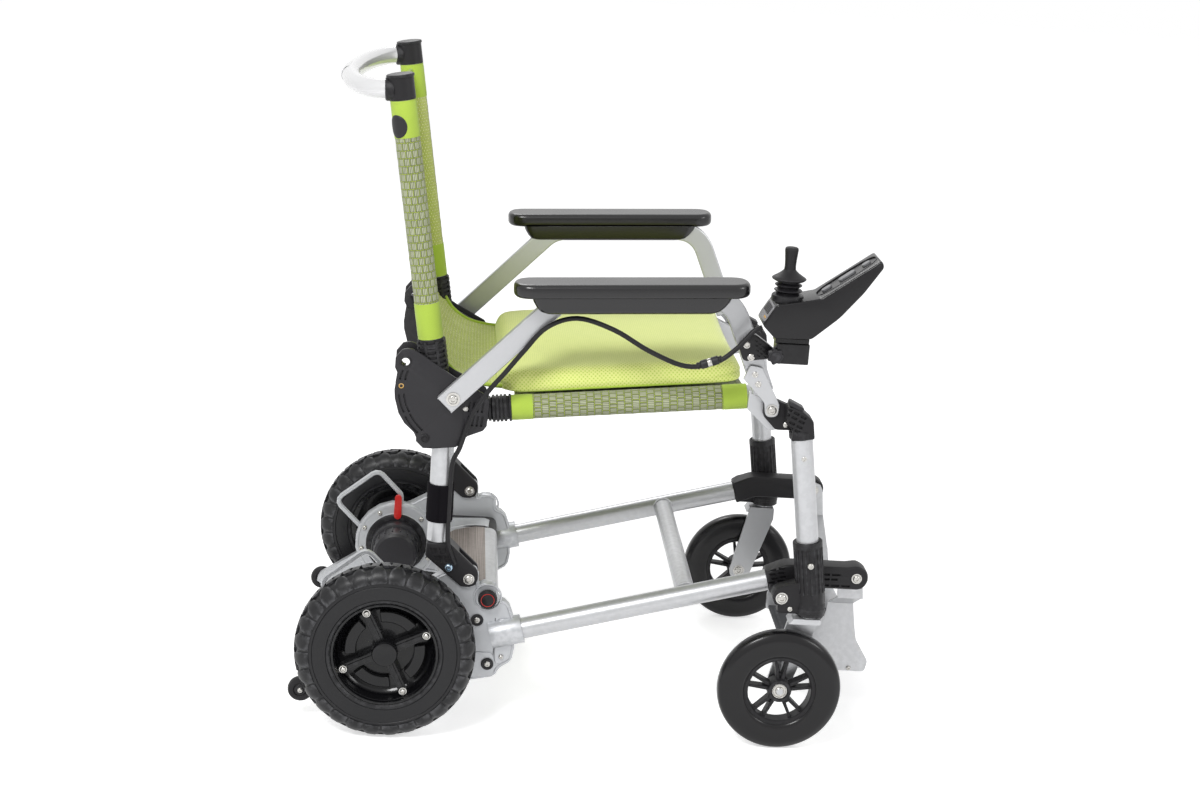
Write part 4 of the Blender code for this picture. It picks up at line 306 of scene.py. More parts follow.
# Tyre rubber: its pale edges (0.5 of the edge colour 105, 105, 108) are rubbed wear and a painted highlight on the
# tread blocks' edges.
TYRE = hard_finish("tyre rubber", (26, 26, 28), 0.0, (0.34, 0.48), 0.4, 1100.0, 0.2, 0.5, (105, 105, 108),
    specular=0.34)
CASTER_RUBBER = hard_finish("smooth caster rubber", (18, 17, 19), 0.0, (0.2, 0.28), 0.2, 1000.0, 0.03, 0.2,
    (70, 70, 74), specular=0.34)
BOOT = hard_finish("bellows rubber", (26, 25, 28), 0.0, (0.36, 0.5), 0.3, 1500.0, 0.15, 0.2, (74, 74, 76),
    specular=0.35)
RED = hard_finish("red lever plastic", (200, 34, 30), 0.0, (0.25, 0.4), 0.2, 900.0, 0.06, 0.2, (235, 120, 110))
BRONZE = hard_finish("brushed bronze panel", (160, 149, 142), 0.6, (0.3, 0.46), 0.3, 500.0, 0.05, 0.2,
    (190, 182, 175), (900.0, 5.0, 900.0))
BOARD = hard_finish("dark grey board", (66, 67, 70), 0.0, (0.55, 0.72), 0.4, 900.0, 0.3, 0.35, (110, 110, 112),
    specular=0.3)
KEY_GREY = hard_finish("grey key", (120, 121, 124), 0.0, (0.35, 0.5), 0.2, 1200.0, 0.1, 0.2)
PANEL_GREY = hard_finish("grey gauge face", (150, 149, 152), 0.2, (0.22, 0.34), 0.25, 700.0, 0.03, 0.1)
AMBER = hard_finish("amber lamp", (226, 168, 40), 0.0, (0.2, 0.3), 0.1, 500.0, 0.02)
STRAP = hard_finish("black hook strap", (22, 20, 24), 0.0, (0.85, 0.98), 0.7, 1600.0, 0.9, 0.0, specular=0.1)
PLAIN_LIME = cloth_finish("lime webbing", KNIT, {"Yarn": shade(*LIME), "Cell": shade(170, 198, 72), "Pitch": 0.0011},
    0.9, 0.35, 0.0002)
WEAVE_GREY = cloth_finish("grey and lime basket weave", WEAVE,
    {"Bundle": shade(214, 219, 184), "Shadow": shade(64, 70, 44), "Thread": shade(204, 224, 104), "Width": 0.0084,
    "Height": 0.0104}, 0.85, 0.6, 0.0005)
WEAVE_OLIVE = cloth_finish("olive and lime weave", WEAVE,
    {"Bundle": shade(250, 255, 186), "Shadow": shade(196, 208, 116), "Thread": shade(232, 246, 138), "Width": 0.0048,
    "Height": 0.0044}, 0.85, 0.5, 0.0003)
CUSHION_KNIT = cloth_finish("lime spacer knit", KNIT, {"Yarn": shade(250, 255, 164), "Cell": shade(192, 218, 70),
    "Pitch": 0.004, "Open": 0.22}, 0.88, 0.7, 0.0005, 0.4)


# Shapes

def frame_along(axis):
    """The turn that lays local Z along an axis."""
    return Vector(axis).normalized().to_track_quat("Z", "Y").to_matrix().to_4x4()


def lathe(bm, profile, centre, axis=(0, 1, 0), steps=40, closed=False):
    """Spins a half section, given as (along, radius), round an axis."""
    axis, centre = Vector(axis).normalized(), Vector(centre)
    turn = Matrix.Translation(centre) @ frame_along(axis)
    verts = [bm.verts.new(turn @ Vector((radius, 0, along))) for along, radius in profile]
    pairs = list(zip(verts, verts[1:])) + ([(verts[-1], verts[0])] if closed else [])
    edges = [bm.edges.new(pair) for pair in pairs]
    before = set(bm.verts) - set(verts)
    bmesh.ops.spin(bm, geom=verts + edges, cent=centre, axis=axis, angle=2 * pi, steps=steps, use_merge=True)
    bmesh.ops.remove_doubles(bm, verts=[v for v in bm.verts if v not in before], dist=1e-6)


def solid(bm, corners, shift):
    """Makes a face and grows it into a solid by a shift."""
    face = bm.faces.new([bm.verts.new(corner) for corner in corners])
    grown = bmesh.ops.extrude_face_region(bm, geom=[face])["geom"]
    verts = [g for g in grown if isinstance(g, bmesh.types.BMVert)]
    bmesh.ops.translate(bm, vec=shift, verts=verts)
    return list(face.verts) + verts


def prism(bm, outline, y_low, y_high):
    """A plate of constant section across the chair; its outline runs in X and Z."""
    return solid(bm, [(x, y_low, z) for x, z in outline], (0, y_high - y_low, 0))


def side_prism(bm, outline, side, y_in, y_out):
    """A plate on one side of the chair, between two distances from its middle."""
    low, high = sorted((side * y_in, side * y_out))
    return prism(bm, outline, low, high)


def rounded(corners, steps=5):
    """An outline whose corners (x, z, radius) are turned into arcs."""
    outline = []
    count = len(corners)
    for k, (x, z, radius) in enumerate(corners):
        here = Vector((x, z))
        if radius <= 0:
            outline.append(here)
            continue
        before, after = Vector(corners[k - 1][:2]), Vector(corners[(k + 1) % count][:2])
        a, b = (before - here), (after - here)
        half = a.angle(b) / 2
        reach = min(radius / tan(half), a.length * 0.48, b.length * 0.48)
        start, end = here + a.normalized() * reach, here + b.normalized() * reach
        for s in range(steps + 1):
            t = s / steps
            outline.append(start.lerp(here, t).lerp(here.lerp(end, t), t))
    return [(p[0], p[1]) for p in outline]


def block(bm, low, high):
    made = bmesh.ops.create_cube(bm, size=1.0)["verts"]
    low, high = Vector(low), Vector(high)
    bmesh.ops.scale(bm, vec=high - low, verts=made)
    bmesh.ops.translate(bm, vec=(low + high) / 2, verts=made)
    return made


def soften(bm, verts, width, segments=2, angle=30):
    """Rounds the sharp edges among some vertices."""
    chosen = set(verts)
    edges = [e for e in bm.edges if e.verts[0] in chosen and e.verts[1] in chosen and len(e.link_faces) == 2
        and e.calc_face_angle(0) > radians(angle)]
    if edges:
        bmesh.ops.bevel(bm, geom=edges, offset=width, segments=segments, profile=0.5, affect="EDGES",
            clamp_overlap=True, material=-1)


def ways(line):
    """The direction of a line at each of its points."""
    last = len(line) - 1
    return [(line[min(k + 1, last)] - line[max(k - 1, 0)]).normalized() for k in range(last + 1)]


def sweep(bm, points, radius, sides=12, flat=1.0):
    """A round bar along some points, closed at both ends; flat squashes its section."""
    points = [Vector(p) for p in points]
    tangents = ways(points)
    turn = frame_along(tangents[0])
    ring = bmesh.ops.create_circle(bm, cap_ends=False, radius=radius, segments=sides)["verts"]
    bmesh.ops.scale(bm, vec=(1, flat, 1), verts=ring)
    bmesh.ops.transform(bm, matrix=Matrix.Translation(points[0]) @ turn, verts=ring)
    first, edges = ring, list({e for v in ring for e in v.link_edges})
    for k in range(1, len(points)):
        grown = bmesh.ops.extrude_edge_only(bm, edges=edges)["geom"]
        ring = [g for g in grown if isinstance(g, bmesh.types.BMVert)]
        inside = set(ring)
        edges = [g for g in grown if isinstance(g, bmesh.types.BMEdge) and set(g.verts) <= inside]
        bend = tangents[k - 1].rotation_difference(tangents[k]).to_matrix().to_4x4()
        move = Matrix.Translation(points[k]) @ bend @ Matrix.Translation(-points[k - 1])
        bmesh.ops.transform(bm, matrix=move, verts=ring)
    for end in (first, ring):
        bm.faces.new(end)


def arc_path(points, radius, steps=8):
    """A path with its corners turned into arcs of one radius."""
    points = [Vector(p) for p in points]
    path = [points[0]]
    for before, here, after in zip(points, points[1:], points[2:]):
        a, b = before - here, after - here
        reach = min(radius / tan(a.angle(b) / 2), a.length * 0.49, b.length * 0.49)
        start, end = here + a.normalized() * reach, here + b.normalized() * reach
        path += [start.lerp(here, s / steps).lerp(here.lerp(end, s / steps), s / steps) for s in range(steps + 1)]
    return path + [points[-1]]


def smooth_route(points, per_span=6):
    """A smooth curve through some points."""
    points = [Vector(p) for p in points]
    route = []
    for k in range(len(points) - 1):
        a, b = points[max(k - 1, 0)], points[k]
        c, d = points[k + 1], points[min(k + 2, len(points) - 1)]
        for s in range(per_span):
            t = s / per_span
            route.append(0.5 * ((2 * b) + (c - a) * t + (2 * a - 5 * b + 4 * c - d) * t ** 2
                + (3 * b - a - 3 * c + d) * t ** 3))
    return route + [points[-1]]


def screw(bm, place, direction, radius, height=None, socket=0.45, washer=0.0):
    """A button-head screw with a round socket, and a washer under it when a washer's radius is given."""
    height = height or radius * 0.62
    place, direction = Vector(place), Vector(direction).normalized()
    if washer:
        lathe(bm, [(0, 0), (0, washer), (0.0009, washer), (0.0009, 0)], place, direction, 28)
        place = place + direction * 0.0009
    lathe(bm, [(0, 0), (0, radius), (height * 0.35, radius), (height * 0.8, radius * 0.84), (height, radius * 0.62),
        (height, radius * socket), (height * 0.4, radius * socket * 0.96), (height * 0.4, 0)], place, direction, 24)


def plain_unwrap(bm, along=(1, 0, 0), across=(0, 1, 0)):
    """UV in metres, laid straight on from the side that each face turns to."""
    layer = bm.loops.layers.uv.verify()
    along, across = Vector(along).normalized(), Vector(across).normalized()
    up = along.cross(across)
    bm.normal_update()
    for face in bm.faces:
        n = face.normal
        parts = (abs(n.dot(up)), abs(n.dot(across)), abs(n.dot(along)))
        u, v = ((along, across), (along, up), (across, up))[parts.index(max(parts))]
        for loop in face.loops:
            loop[layer].uv = (loop.vert.co.dot(u), loop.vert.co.dot(v))


def round_unwrap(bm, centre, axis, radius):
    """UV in metres round a bar: across is the way round it, up is the way along it."""
    layer = bm.loops.layers.uv.verify()
    turn = (Matrix.Translation(Vector(centre)) @ frame_along(axis)).inverted()
    for face in bm.faces:
        middle = turn @ face.calc_center_median()
        base = atan2(middle.y, middle.x)
        for loop in face.loops:
            p = turn @ loop.vert.co
            angle = atan2(p.y, p.x)
            angle += round((base - angle) / (2 * pi)) * 2 * pi
            loop[layer].uv = (angle * radius, p.z)


def put(name, data):
    """A new object in the scene for a modelled shape, a lamp or a camera."""
    if isinstance(data, bmesh.types.BMesh):
        shape, data = data, bpy.data.meshes.new(name)
        shape.to_mesh(data)
        shape.free()
    made = bpy.data.objects.new(name, data)
    bpy.context.scene.collection.objects.link(made)
    return made


def finish(name, bm, body, material, sharp=32, recalc=True, shift=True):
    """Makes the modelled shape a finished piece that rides on a body."""
    if recalc:
        bmesh.ops.recalc_face_normals(bm, faces=bm.faces[:])
    if shift:
        bmesh.ops.translate(bm, vec=(CHAIR_X, 0, 0), verts=bm.verts[:])
    limit = radians(sharp)
    for edge in bm.edges:
        edge.smooth = not (len(edge.link_faces) == 2 and edge.calc_face_angle(0) > limit)
    for face in bm.faces:
        beside = [other.calc_area() for edge in face.edges for other in edge.link_faces if other is not face]
        face.smooth = len(face.verts) < 9 and face.calc_area() < 5 * max(beside, default=1.0)
    piece = put(name, bm)
    piece.data.materials.append(material)
    if body:
        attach(piece, body)
    return piece


def carry_over(node, body, material, name=None, width=0.0006, join=0.6):
    """A CAD node's own shape with its facets joined, its edges eased and its curves shaded round."""
    bm = bmesh.new()
    bm.from_mesh(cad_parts[node].data)
    bmesh.ops.remove_doubles(bm, verts=bm.verts[:], dist=2e-6)
    if join:
        bmesh.ops.dissolve_limit(bm, angle_limit=radians(join), verts=bm.verts[:], edges=bm.edges[:])
    if width:
        soften(bm, bm.verts, width, 2, 36)
    piece = finish(name or node + "_finished", bm, body, material, 34, False, False)
    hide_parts(node)
    return piece


def relief(bm, place, across=6, along=6):
    """A raised block over curved ground: place gives the point under or over a spot of its own square."""
    ground = bmesh.ops.create_grid(bm, x_segments=across, y_segments=along, size=1.0)["verts"]
    faces = list({face for v in ground for face in v.link_faces})
    grown = bmesh.ops.extrude_face_region(bm, geom=faces)["geom"]
    crown = [g for g in grown if isinstance(g, bmesh.types.BMVert)]
    for verts, raised in ((ground, False), (crown, True)):
        for v in verts:
            v.co = place(v.co.x, v.co.y, raised)
    return ground + crown


def inset_loop(outline, depth):
    """An outline moved inwards by a depth; it runs anticlockwise or clockwise alike."""
    area = sum(a[0] * b[1] - b[0] * a[1] for a, b in zip(outline, outline[1:] + outline[:1]))
    way = 1 if area > 0 else -1
    moved = []
    for k, p in enumerate(outline):
        run = (Vector(outline[(k + 1) % len(outline)]) - Vector(outline[k - 1])).normalized()
        moved.append((p[0] - way * run[1] * depth, p[1] + way * run[0] * depth))
    return moved


def oblong(start, end, half):
    """The four corners of a rectangle that lies evenly about its own line."""
    return [(start, -half), (end, -half), (end, half), (start, half)]


def rounded_oblong(start, end, half, corner, steps):
    return rounded([(a, b, corner) for a, b in oblong(start, end, half)], steps)


def pockets(cutters, side, spots, length, width, lean, y_in, y_out):
    """Rounded slots cut from the outer side of a moulding, all at one slant."""
    c, s = cos(radians(lean)), sin(radians(lean))
    for x, z in spots:
        corners = oblong(-length / 2, length / 2, width / 2)
        side_prism(cutters, rounded([(x + a * c - b * s, z + a * s + b * c, width * 0.35) for a, b in corners], 3),
            side, y_in, y_out)


# Tubes and the handle

def bar_between(name, body, material, start, end, radius, steps=40, edge=0.0006):
    """A straight round tube with eased ends."""
    bm = bmesh.new()
    start, end = Vector(start), Vector(end)
    length = (end - start).length
    lathe(bm, [(0, 0), (0, radius - edge), (edge, radius), (length - edge, radius), (length, radius - edge),
        (length, 0)], start, end - start, steps)
    return finish(name, bm, body, material)


def stem_x(z):
    """Where the leaning front leg stands at a height."""
    return STEM_X - (z - STEM_FOOT_Z) * STEM_TILT


def lower_tube_point(x):
    """A point (x, z) on the sloping lower tube."""
    return Vector((x, 0.1304 + (x - 0.15) * 0.2653))


def base_tubes():
    """The two lower tubes, the cross tube and the weld beads where it meets them."""
    bm = bmesh.new()
    start, end = lower_tube_point(0.15), lower_tube_point(0.532)
    length = (end - start).length
    for side in SIDES.values():
        y = side * 0.2063
        lathe(bm, [(0, 0), (0, 0.0146), (0.0006, 0.015), (length - 0.0006, 0.015), (length, 0.0146), (length, 0)],
            at(start, y), (end[0] - start[0], 0, end[1] - start[1]), 40)
    middle = lower_tube_point(0.42)
    lathe(bm, mm((0, 0), (0, 14), (389.2, 14), (389.2, 0)), at(middle, -0.1946), (0, 1, 0), 40)
    for side in SIDES.values():
        ring = []
        for k in range(25):
            angle = 2 * pi * k / 24
            reach = 0.0146 + 0.0004 * sin(k * 2.3)
            ring.append((middle[0] + reach * cos(angle), side * 0.1929, middle[1] + reach * sin(angle)))
        sweep(bm, ring, 0.0016, 8)
    piece = finish("lower_tubes", bm, "chair", SILVER)
    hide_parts("base_frame")


def upright_tubes(name, side):
    """Tubes of the rear leg, the back post and the front leg of one side."""
    y = side * FRAME_Y
    leg = bar_between("rear_leg_tube_" + name, "rear_frame", SILVER, (LEG_X, y, 0.2665), (LEG_X, y, 0.44), FRAME_R)
    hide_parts("rear_leg_" + name)
    foot, head = post_point(0.505), post_point(0.896)
    post = bar_between("back_post_tube_" + name, "rear_frame", SILVER, at(foot, y), at(head, y), FRAME_R)
    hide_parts("back_post_" + name)
    low = (stem_x(0.24), side * FRONT_LEG_Y, 0.24)
    high = (stem_x(0.4564), side * FRONT_LEG_Y, 0.4564)
    front = bar_between("front_leg_tube_" + name, "leg_" + name, SILVER, low, high, FRONT_LEG_R)
    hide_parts("front_leg_" + name)


def post_point(z):
    run = POST_HEAD - POST_FOOT
    return POST_FOOT + run * ((z - POST_FOOT[1]) / run[1])


def push_handle():
    """Handle tube bent in a wide bow from cap to cap."""
    bm = bmesh.new()
    x = post_point(0.893)[0] - 0.013
    reach, depth, drop = 0.225, -0.092 - x, 0.0082
    points = []
    for side in (-1, 1):
        half = []
        for k in range(19):
            a = pi / 2 * k / 18
            half.append((x + depth * sin(a), side * (FRAME_Y - reach * (1 - cos(a))), 0.8922 - drop * sin(a)))
        points += half if side < 0 else half[::-1]
    sweep(bm, points, 0.013, 32)
    piece = finish("push_handle_tube", bm, "rear_frame", HANDLE, 50)
    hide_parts("push_handle")


def post_cap(name, side):
    """Black cap over the post's head, with the collar that holds the handle."""
    bm = bmesh.new()
    y = side * FRAME_Y
    base = post_point(0.879)
    lathe(bm, mm((0, 15.9), (0, 16.9), (0.6, 17.5), (29.6, 17.5), (30, 18.6), (32.4, 19), (33.8, 18), (34.4, 15),
        (33.8, 0.6), (33.8, 0), (17.2, 0), (17.2, 15.9)), at(base, y), at(POST_WAY, 0), 40, True)
    centre = post_point(0.893)
    lathe(bm, mm((10, 0), (10, 15.5), (19.5, 15.8), (21.5, 14.5), (21.5, 0)), (centre[0], y, 0.8922), (-1, 0, -0.06),
        36)
    piece = finish("post_end_cap_" + name, bm, "rear_frame", BLACK)
    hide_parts("post_cap_" + name)


# Cloth

def sleeve(name, body, start, end, radius, bands):
    """Cloth wrapped round a tube: basket weave in the middle and a plain lime band at each end."""
    start, end = Vector(start), Vector(end)
    axis, length = (end - start).normalized(), (end - start).length
    bm = bmesh.new()
    rows = 40
    low, high = bands[0] - 0.001, length - bands[1] + 0.001
    folds = [(low + (high - low) * k / rows, radius + 0.00022 * sin(k * 1.9) * sin(k * 0.7)) for k in range(rows + 1)]
    profile = [(low, radius - 0.0012)] + folds + [(high, radius - 0.0012)]
    lathe(bm, profile, start, axis, 48, True)
    round_unwrap(bm, start, axis, radius)
    side = 1 if start[1] > 0 else -1
    inner = [f for f in bm.faces if (f.calc_center_median().y - start[1]) * side < -radius * 0.25]
    for face in inner:
        face.material_index = 1
    weave = finish(name + "_weave", bm, body, WEAVE_GREY, 60)
    weave.data.materials.append(WEAVE_OLIVE)
    bm = bmesh.new()
    for low, high in ((0.0, bands[0]), (length - bands[1], length)):
        r = radius + 0.0007
        lathe(bm, [(low, r - 0.0015), (low + 0.0002, r - 0.0002), (low + 0.0012, r), (low + 0.0028, r - 0.0003),
            (low + 0.004, r), (high - 0.004, r), (high - 0.0028, r - 0.0003), (high - 0.0012, r),
            (high - 0.0002, r - 0.0002), (high, r - 0.0015)], start, axis, 48, True)
    round_unwrap(bm, start, axis, radius)
    band = finish(name + "_bands", bm, body, PLAIN_LIME, 60)


def sleeves(name, side):
    """Cloth round the back post and the seat tube, and the oval cover on the post."""
    y = side * FRAME_Y
    foot, head = post_point(0.5566), post_point(0.8786)
    sleeve("post_sleeve_" + name, "rear_frame", at(foot, y), at(head, y), 0.0168, (0.05, 0.05))
    rear, front = rail_point(0.1558), rail_point(0.48)
    sleeve("rail_sleeve_" + name, "seat", at(rear, y), at(front, y), 0.0169, (0.03, 0.034))
    bm = bmesh.new()
    middle = post_point(0.8455)
    turn = Matrix.Translation(at(middle, y)) @ frame_along(at(POST_WAY, 0))
    spin = turn.inverted().to_3x3()
    outward = spin @ Vector((-cos(radians(50)), side * sin(radians(50)), 0))
    base = atan2(outward.y, outward.x)

    def place(u, w, raised):
        x, z = u * sqrt(1 - w * w / 2), w * sqrt(1 - u * u / 2)
        crown = 0.0012 * sqrt(max(0.0, 1 - (x * x + z * z) ** 3)) if raised else -0.0012
        r = 0.0178 + crown
        angle = base + x * 0.82
        return turn @ Vector((r * cos(angle), r * sin(angle), z * 0.0155))

    relief(bm, place, 14, 14)
    finish("post_oval_cover_" + name, bm, "rear_frame", PLATE_BLACK, 50)


def rail_point(x):
    slope = RAIL_FRONT - RAIL_REAR
    return RAIL_REAR + slope * ((x - RAIL_REAR[0]) / slope[0])


def cloth_grid(rows, half_at, sag_at, columns, thickness):
    """A sheet across the chair: rows are points in X and Z, and each sags between its ends."""
    bm = bmesh.new()
    bmesh.ops.create_grid(bm, x_segments=columns, y_segments=len(rows) - 1, size=1.0)
    layer = bm.loops.layers.uv.verify()
    run = [0.0]
    for a, b in zip(rows, rows[1:]):
        run.append(run[-1] + (b - a).length)
    tangents, last = ways(rows), len(rows) - 1
    for v in bm.verts:
        row = round((v.co.y + 1) / 2 * last)
        across, here, tangent = v.co.x, rows[row], tangents[row]
        sag = sag_at(row / last, across)
        v.co = (here[0] - tangent[1] * sag, across * half_at(row / last), here[1] + tangent[0] * sag)
        for loop in v.link_loops:
            loop[layer].uv = (v.co.y, run[row])
    bmesh.ops.solidify(bm, geom=bm.faces[:], thickness=thickness)
    return bm, run[-1]


def back_sling():
    """Backrest cloth from the caps down to the seat: it hangs back in the middle and turns forward at its foot."""
    control = [Vector(p) for p in mm((-11, 871), (1, 800), (13, 726), (23, 662), (32.2, 604), (40, 564), (48, 540),
        (59, 522), (74, 506), (96, 493.5), (125, 488), (156, 487.2))]
    rows = [Vector((p[0], p[2])) for p in smooth_route([at(c, 0) for c in control], 5)]

    def half_at(t):
        blend = min(max((t - 0.58) / 0.1, 0), 1)
        return (FRAME_Y - 0.006) * (1 - blend) + 0.1795 * blend

    def sag_at(t, across):
        fullness = sin(pi * min(1.0, 0.12 + t * 0.95)) ** 0.8
        crease = 0.0009 * sin(across * 23 + t * 9) * sin(pi * t)
        return -(0.024 * fullness * (1 - across ** 2) ** 0.8 + crease)

    bm, length = cloth_grid(rows, half_at, sag_at, 56, 0.0022)
    sheet = finish("back_sling_cloth", bm, None, WEAVE_OLIVE, 60)
    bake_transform(sheet)
    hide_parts("back_sling")
    hems = bmesh.new()
    for side in SIDES.values():
        edge = []
        for k, row in enumerate(rows):
            t = k / (len(rows) - 1)
            if t < 0.5:
                continue
            edge.append((row[0] + 0.0006, side * (half_at(t) + 0.0002), row[1]))
        sweep(hems, edge, 0.003, 10)
    top = [(rows[0][0] + sag_at(0, a / 20 - 1), (a / 20 - 1) * half_at(0), rows[0][1]) for a in range(41)]
    sweep(hems, top, 0.0026, 10)
    round_unwrap(hems, (0, 0, 0), (0, 1, 0), 0.05)
    hem = finish("back_sling_hems", hems, None, PLAIN_LIME, 60)
    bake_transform(hem)


def seat_sling():
    """Woven seat cloth from rail to rail under the cushion."""
    count = 24
    rows = [Vector(rail_point(0.16 + (0.478 - 0.16) * k / count)) for k in range(count + 1)]
    rows = [Vector((r[0], r[1] + 0.013)) for r in rows]
    bm, length = cloth_grid(rows, lambda t: FRAME_Y, lambda t, a: -0.0115 * (1 - a ** 4), 40, 0.002)
    sheet = finish("seat_sling_cloth", bm, "seat", WEAVE_GREY, 60)


def seat_cushion():
    """Boxed seat pad: a crowned top, sides that draw in between the corners, and a piped seam round its edge."""
    bm = bmesh.new()
    rail = RAIL_FRONT - RAIL_REAR
    rear, front = Vector(RAIL_REAR) - rail * 0.055, Vector(RAIL_FRONT) - rail * 0.012
    along = front - rear
    length, half = along.length, 0.198
    direction = along.normalized()
    normal = Vector((-direction[1], direction[0]))
    bmesh.ops.create_cube(bm, size=1.0)
    bmesh.ops.subdivide_edges(bm, edges=bm.edges[:], cuts=27, use_grid_fill=True)
    corner, edge = 0.034, 0.015
    base, tall = 0.0172, 0.03
    for v in bm.verts:
        u, w, h = v.co.x * 2, v.co.y * 2, v.co.z + 0.5
        u, w = (copysign(1 - (1 - abs(k)) ** 1.5, k) for k in (u, w))
        x, y = u * length / 2, w * half
        inner_x, inner_y = length / 2 - corner, half - corner
        rim = max(abs(u), abs(w))
        wall = min(length / 2 - abs(x), half - abs(y))
        if abs(x) > inner_x and abs(y) > inner_y:
            dx, dy = (abs(x) - inner_x) / corner, (abs(y) - inner_y) / corner
            scale = max(dx, dy) / max(hypot(dx, dy), 1e-6)
            x = copysign(inner_x + dx * scale * corner, x)
            y = copysign(inner_y + dy * scale * corner, y)
        dome = (1 - u ** 4) * (1 - w ** 4)
        near = max(0.0, 1 - wall / edge)
        lumps = 0.0006 * sin(x * 42 + y * 17) * sin(y * 35 - x * 11)
        crown = tall + 0.006 * dome + lumps * dome - edge * (1 - sqrt(max(0.0, 1 - near * near))) * 0.86
        z = base + crown * h + 0.0024 * near ** 2 * (1 - h)
        waist = 0.004 * (1 - min(abs(u), abs(w)) ** 2) * rim ** 6 - 0.002 * sin(pi * h) * rim ** 12
        if abs(u) >= abs(w):
            x -= copysign(waist, x)
        else:
            y -= copysign(waist, y)
        lift = 0.0028 * max(0.0, -u - 0.8) / 0.2
        place = rear + along * 0.5 + direction * x + normal * (z + lift * (1 - h))
        v.co = at(place, y)
    bmesh.ops.smooth_vert(bm, verts=bm.verts[:], factor=0.5, use_axis_x=True, use_axis_y=True, use_axis_z=True)
    plain_unwrap(bm, at(direction, 0), (0, 1, 0))
    pad = finish("seat_cushion_pad", bm, "seat", CUSHION_KNIT, 70)
    smooth = pad.modifiers.new("smooth", "SUBSURF")
    smooth.levels = smooth.render_levels = 1
    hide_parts("seat_cushion")
    piping = bmesh.new()
    loop = []
    for k in range(145):
        angle = 2 * pi * k / 144 + 0.001
        c, s = cos(angle), sin(angle)
        g = (abs(c) ** 12 + abs(s) ** 12) ** (-1 / 12)
        x, y = c * g * (length / 2 - 0.0034), s * g * (half - 0.0034)
        lift = 0.0028 * max(0.0, -x / (length / 2) - 0.8) / 0.2
        place = rear + along * 0.5 + direction * x + normal * (base + 0.003 + lift)
        loop.append(at(place, y))
    sweep(piping, loop, 0.0016, 8)
    round_unwrap(piping, (0, 0, 0), (0, 0, 1), 0.2)
    seam = finish("seat_cushion_piping", piping, "seat", PLAIN_LIME, 70)


# Wheels

def on_side(x, y, z):
    """The turn whose local Z points out of the chair on the side that y lies on, with local Y up."""
    side = 1 if y > 0 else -1
    return Matrix.Translation((x, y, z)) @ frame_along((0, side, 0))


def plate(bm, turn, outline, low, high):
    """A plate whose outline runs in a frame's own X and Y and whose thickness runs along its Z."""
    return solid(bm, [turn @ Vector((x, y, low)) for x, y in outline], turn.to_3x3() @ Vector((0, 0, high - low)))


def ribs_round(bm, turn, count, outline, low, high):
    """Equal ribs standing round an axis."""
    for k in range(count):
        plate(bm, turn @ Matrix.Rotation(2 * pi * k / count, 4, "Z"), outline, low, high)


def ring_sector(inner, outer, start, end, steps):
    """Outline of part of a ring, angles in degrees."""
    turns = [radians(start + (end - start) * k / steps) for k in range(steps + 1)]
    return [(r * cos(a), r * sin(a)) for r, way in ((outer, turns), (inner, turns[::-1])) for a in way]


SHOULDER = [Vector(p) for p in mm((0, 122.2), (5, 122), (9.5, 121.2), (14, 119.3), (18.2, 116.3), (21.4, 112.4),
    (23, 108.2), (23.6, 104))]


def shoulder_point(t, rise):
    """A point of the drive tyre's section, from the middle of the tread to the sidewall, raised by some height."""
    spot = min(max(t, 0.0), 1.0) * (len(SHOULDER) - 1)
    k = min(int(spot), len(SHOULDER) - 2)
    run = SHOULDER[k + 1] - SHOULDER[k]
    point = SHOULDER[k] + run * (spot - k)
    return point + Vector((-run[1], run[0])).normalized() * rise


def drive_tyre(name, side):
    """Solid tyre: sidewall with fine rings, crescent blocks on both shoulders and slanted ones between them."""
    turn = on_side(0, side * DRIVE_Y, DRIVE_AXLE_Z)
    bm = bmesh.new()
    walls = mm((21.2, 74.7), (23.6, 76.8), (24, 80), (23.2, 80.6), (24, 81.2), (24.8, 87), (24.9, 94), (24.6, 99),
        (23.8, 99.8), (24.4, 100.6), (24, 102.6))
    half = walls + [tuple(p) for p in SHOULDER[::-1]]
    profile = [(-a, r) for a, r in half] + [(a, r) for a, r in half[-2::-1]]
    lathe(bm, profile, turn.translation, (0, side, 0), 112, True)
    count = 28
    pitch = 2 * pi / count
    for way in (-1, 1):
        for k in range(count):
            middle = (k + (0.5 if way > 0 else 0)) * pitch

            def crescent(u, w, raised):
                t = ((w + 1) / 2) ** 1.8
                spread = pitch * (0.02 + 0.425 * sqrt(max(0.0, 1 - (1 - min(1.0, t / 0.8)) ** 2)))
                rise = (0.0035 * (1 - t) + 0.0012 * t) * (1 - 0.35 * u ** 8)
                across, r = shoulder_point(0.2 + 0.78 * t, rise if raised else -0.0008)
                angle = middle + spread * u
                return turn @ Vector((r * cos(angle), r * sin(angle), way * across))

            relief(bm, crescent, 6, 8)
    for k in range(count * 2):
        middle = (k + 0.25) * pitch / 2

        def block_of_tread(u, w, raised):
            angle = middle + pitch * 0.2 * u + 0.014 * w * (1 if k % 2 else -1)
            across, r = shoulder_point(abs(w) * 0.17, 0.0033 if raised else -0.0008)
            return turn @ Vector((r * cos(angle), r * sin(angle), copysign(across, w)))

        relief(bm, block_of_tread, 2, 2)
    piece = finish("drive_tyre_" + name + "_tread", bm, "drive_wheel_" + name, TYRE, 24)
    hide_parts("drive_tyre_" + name)


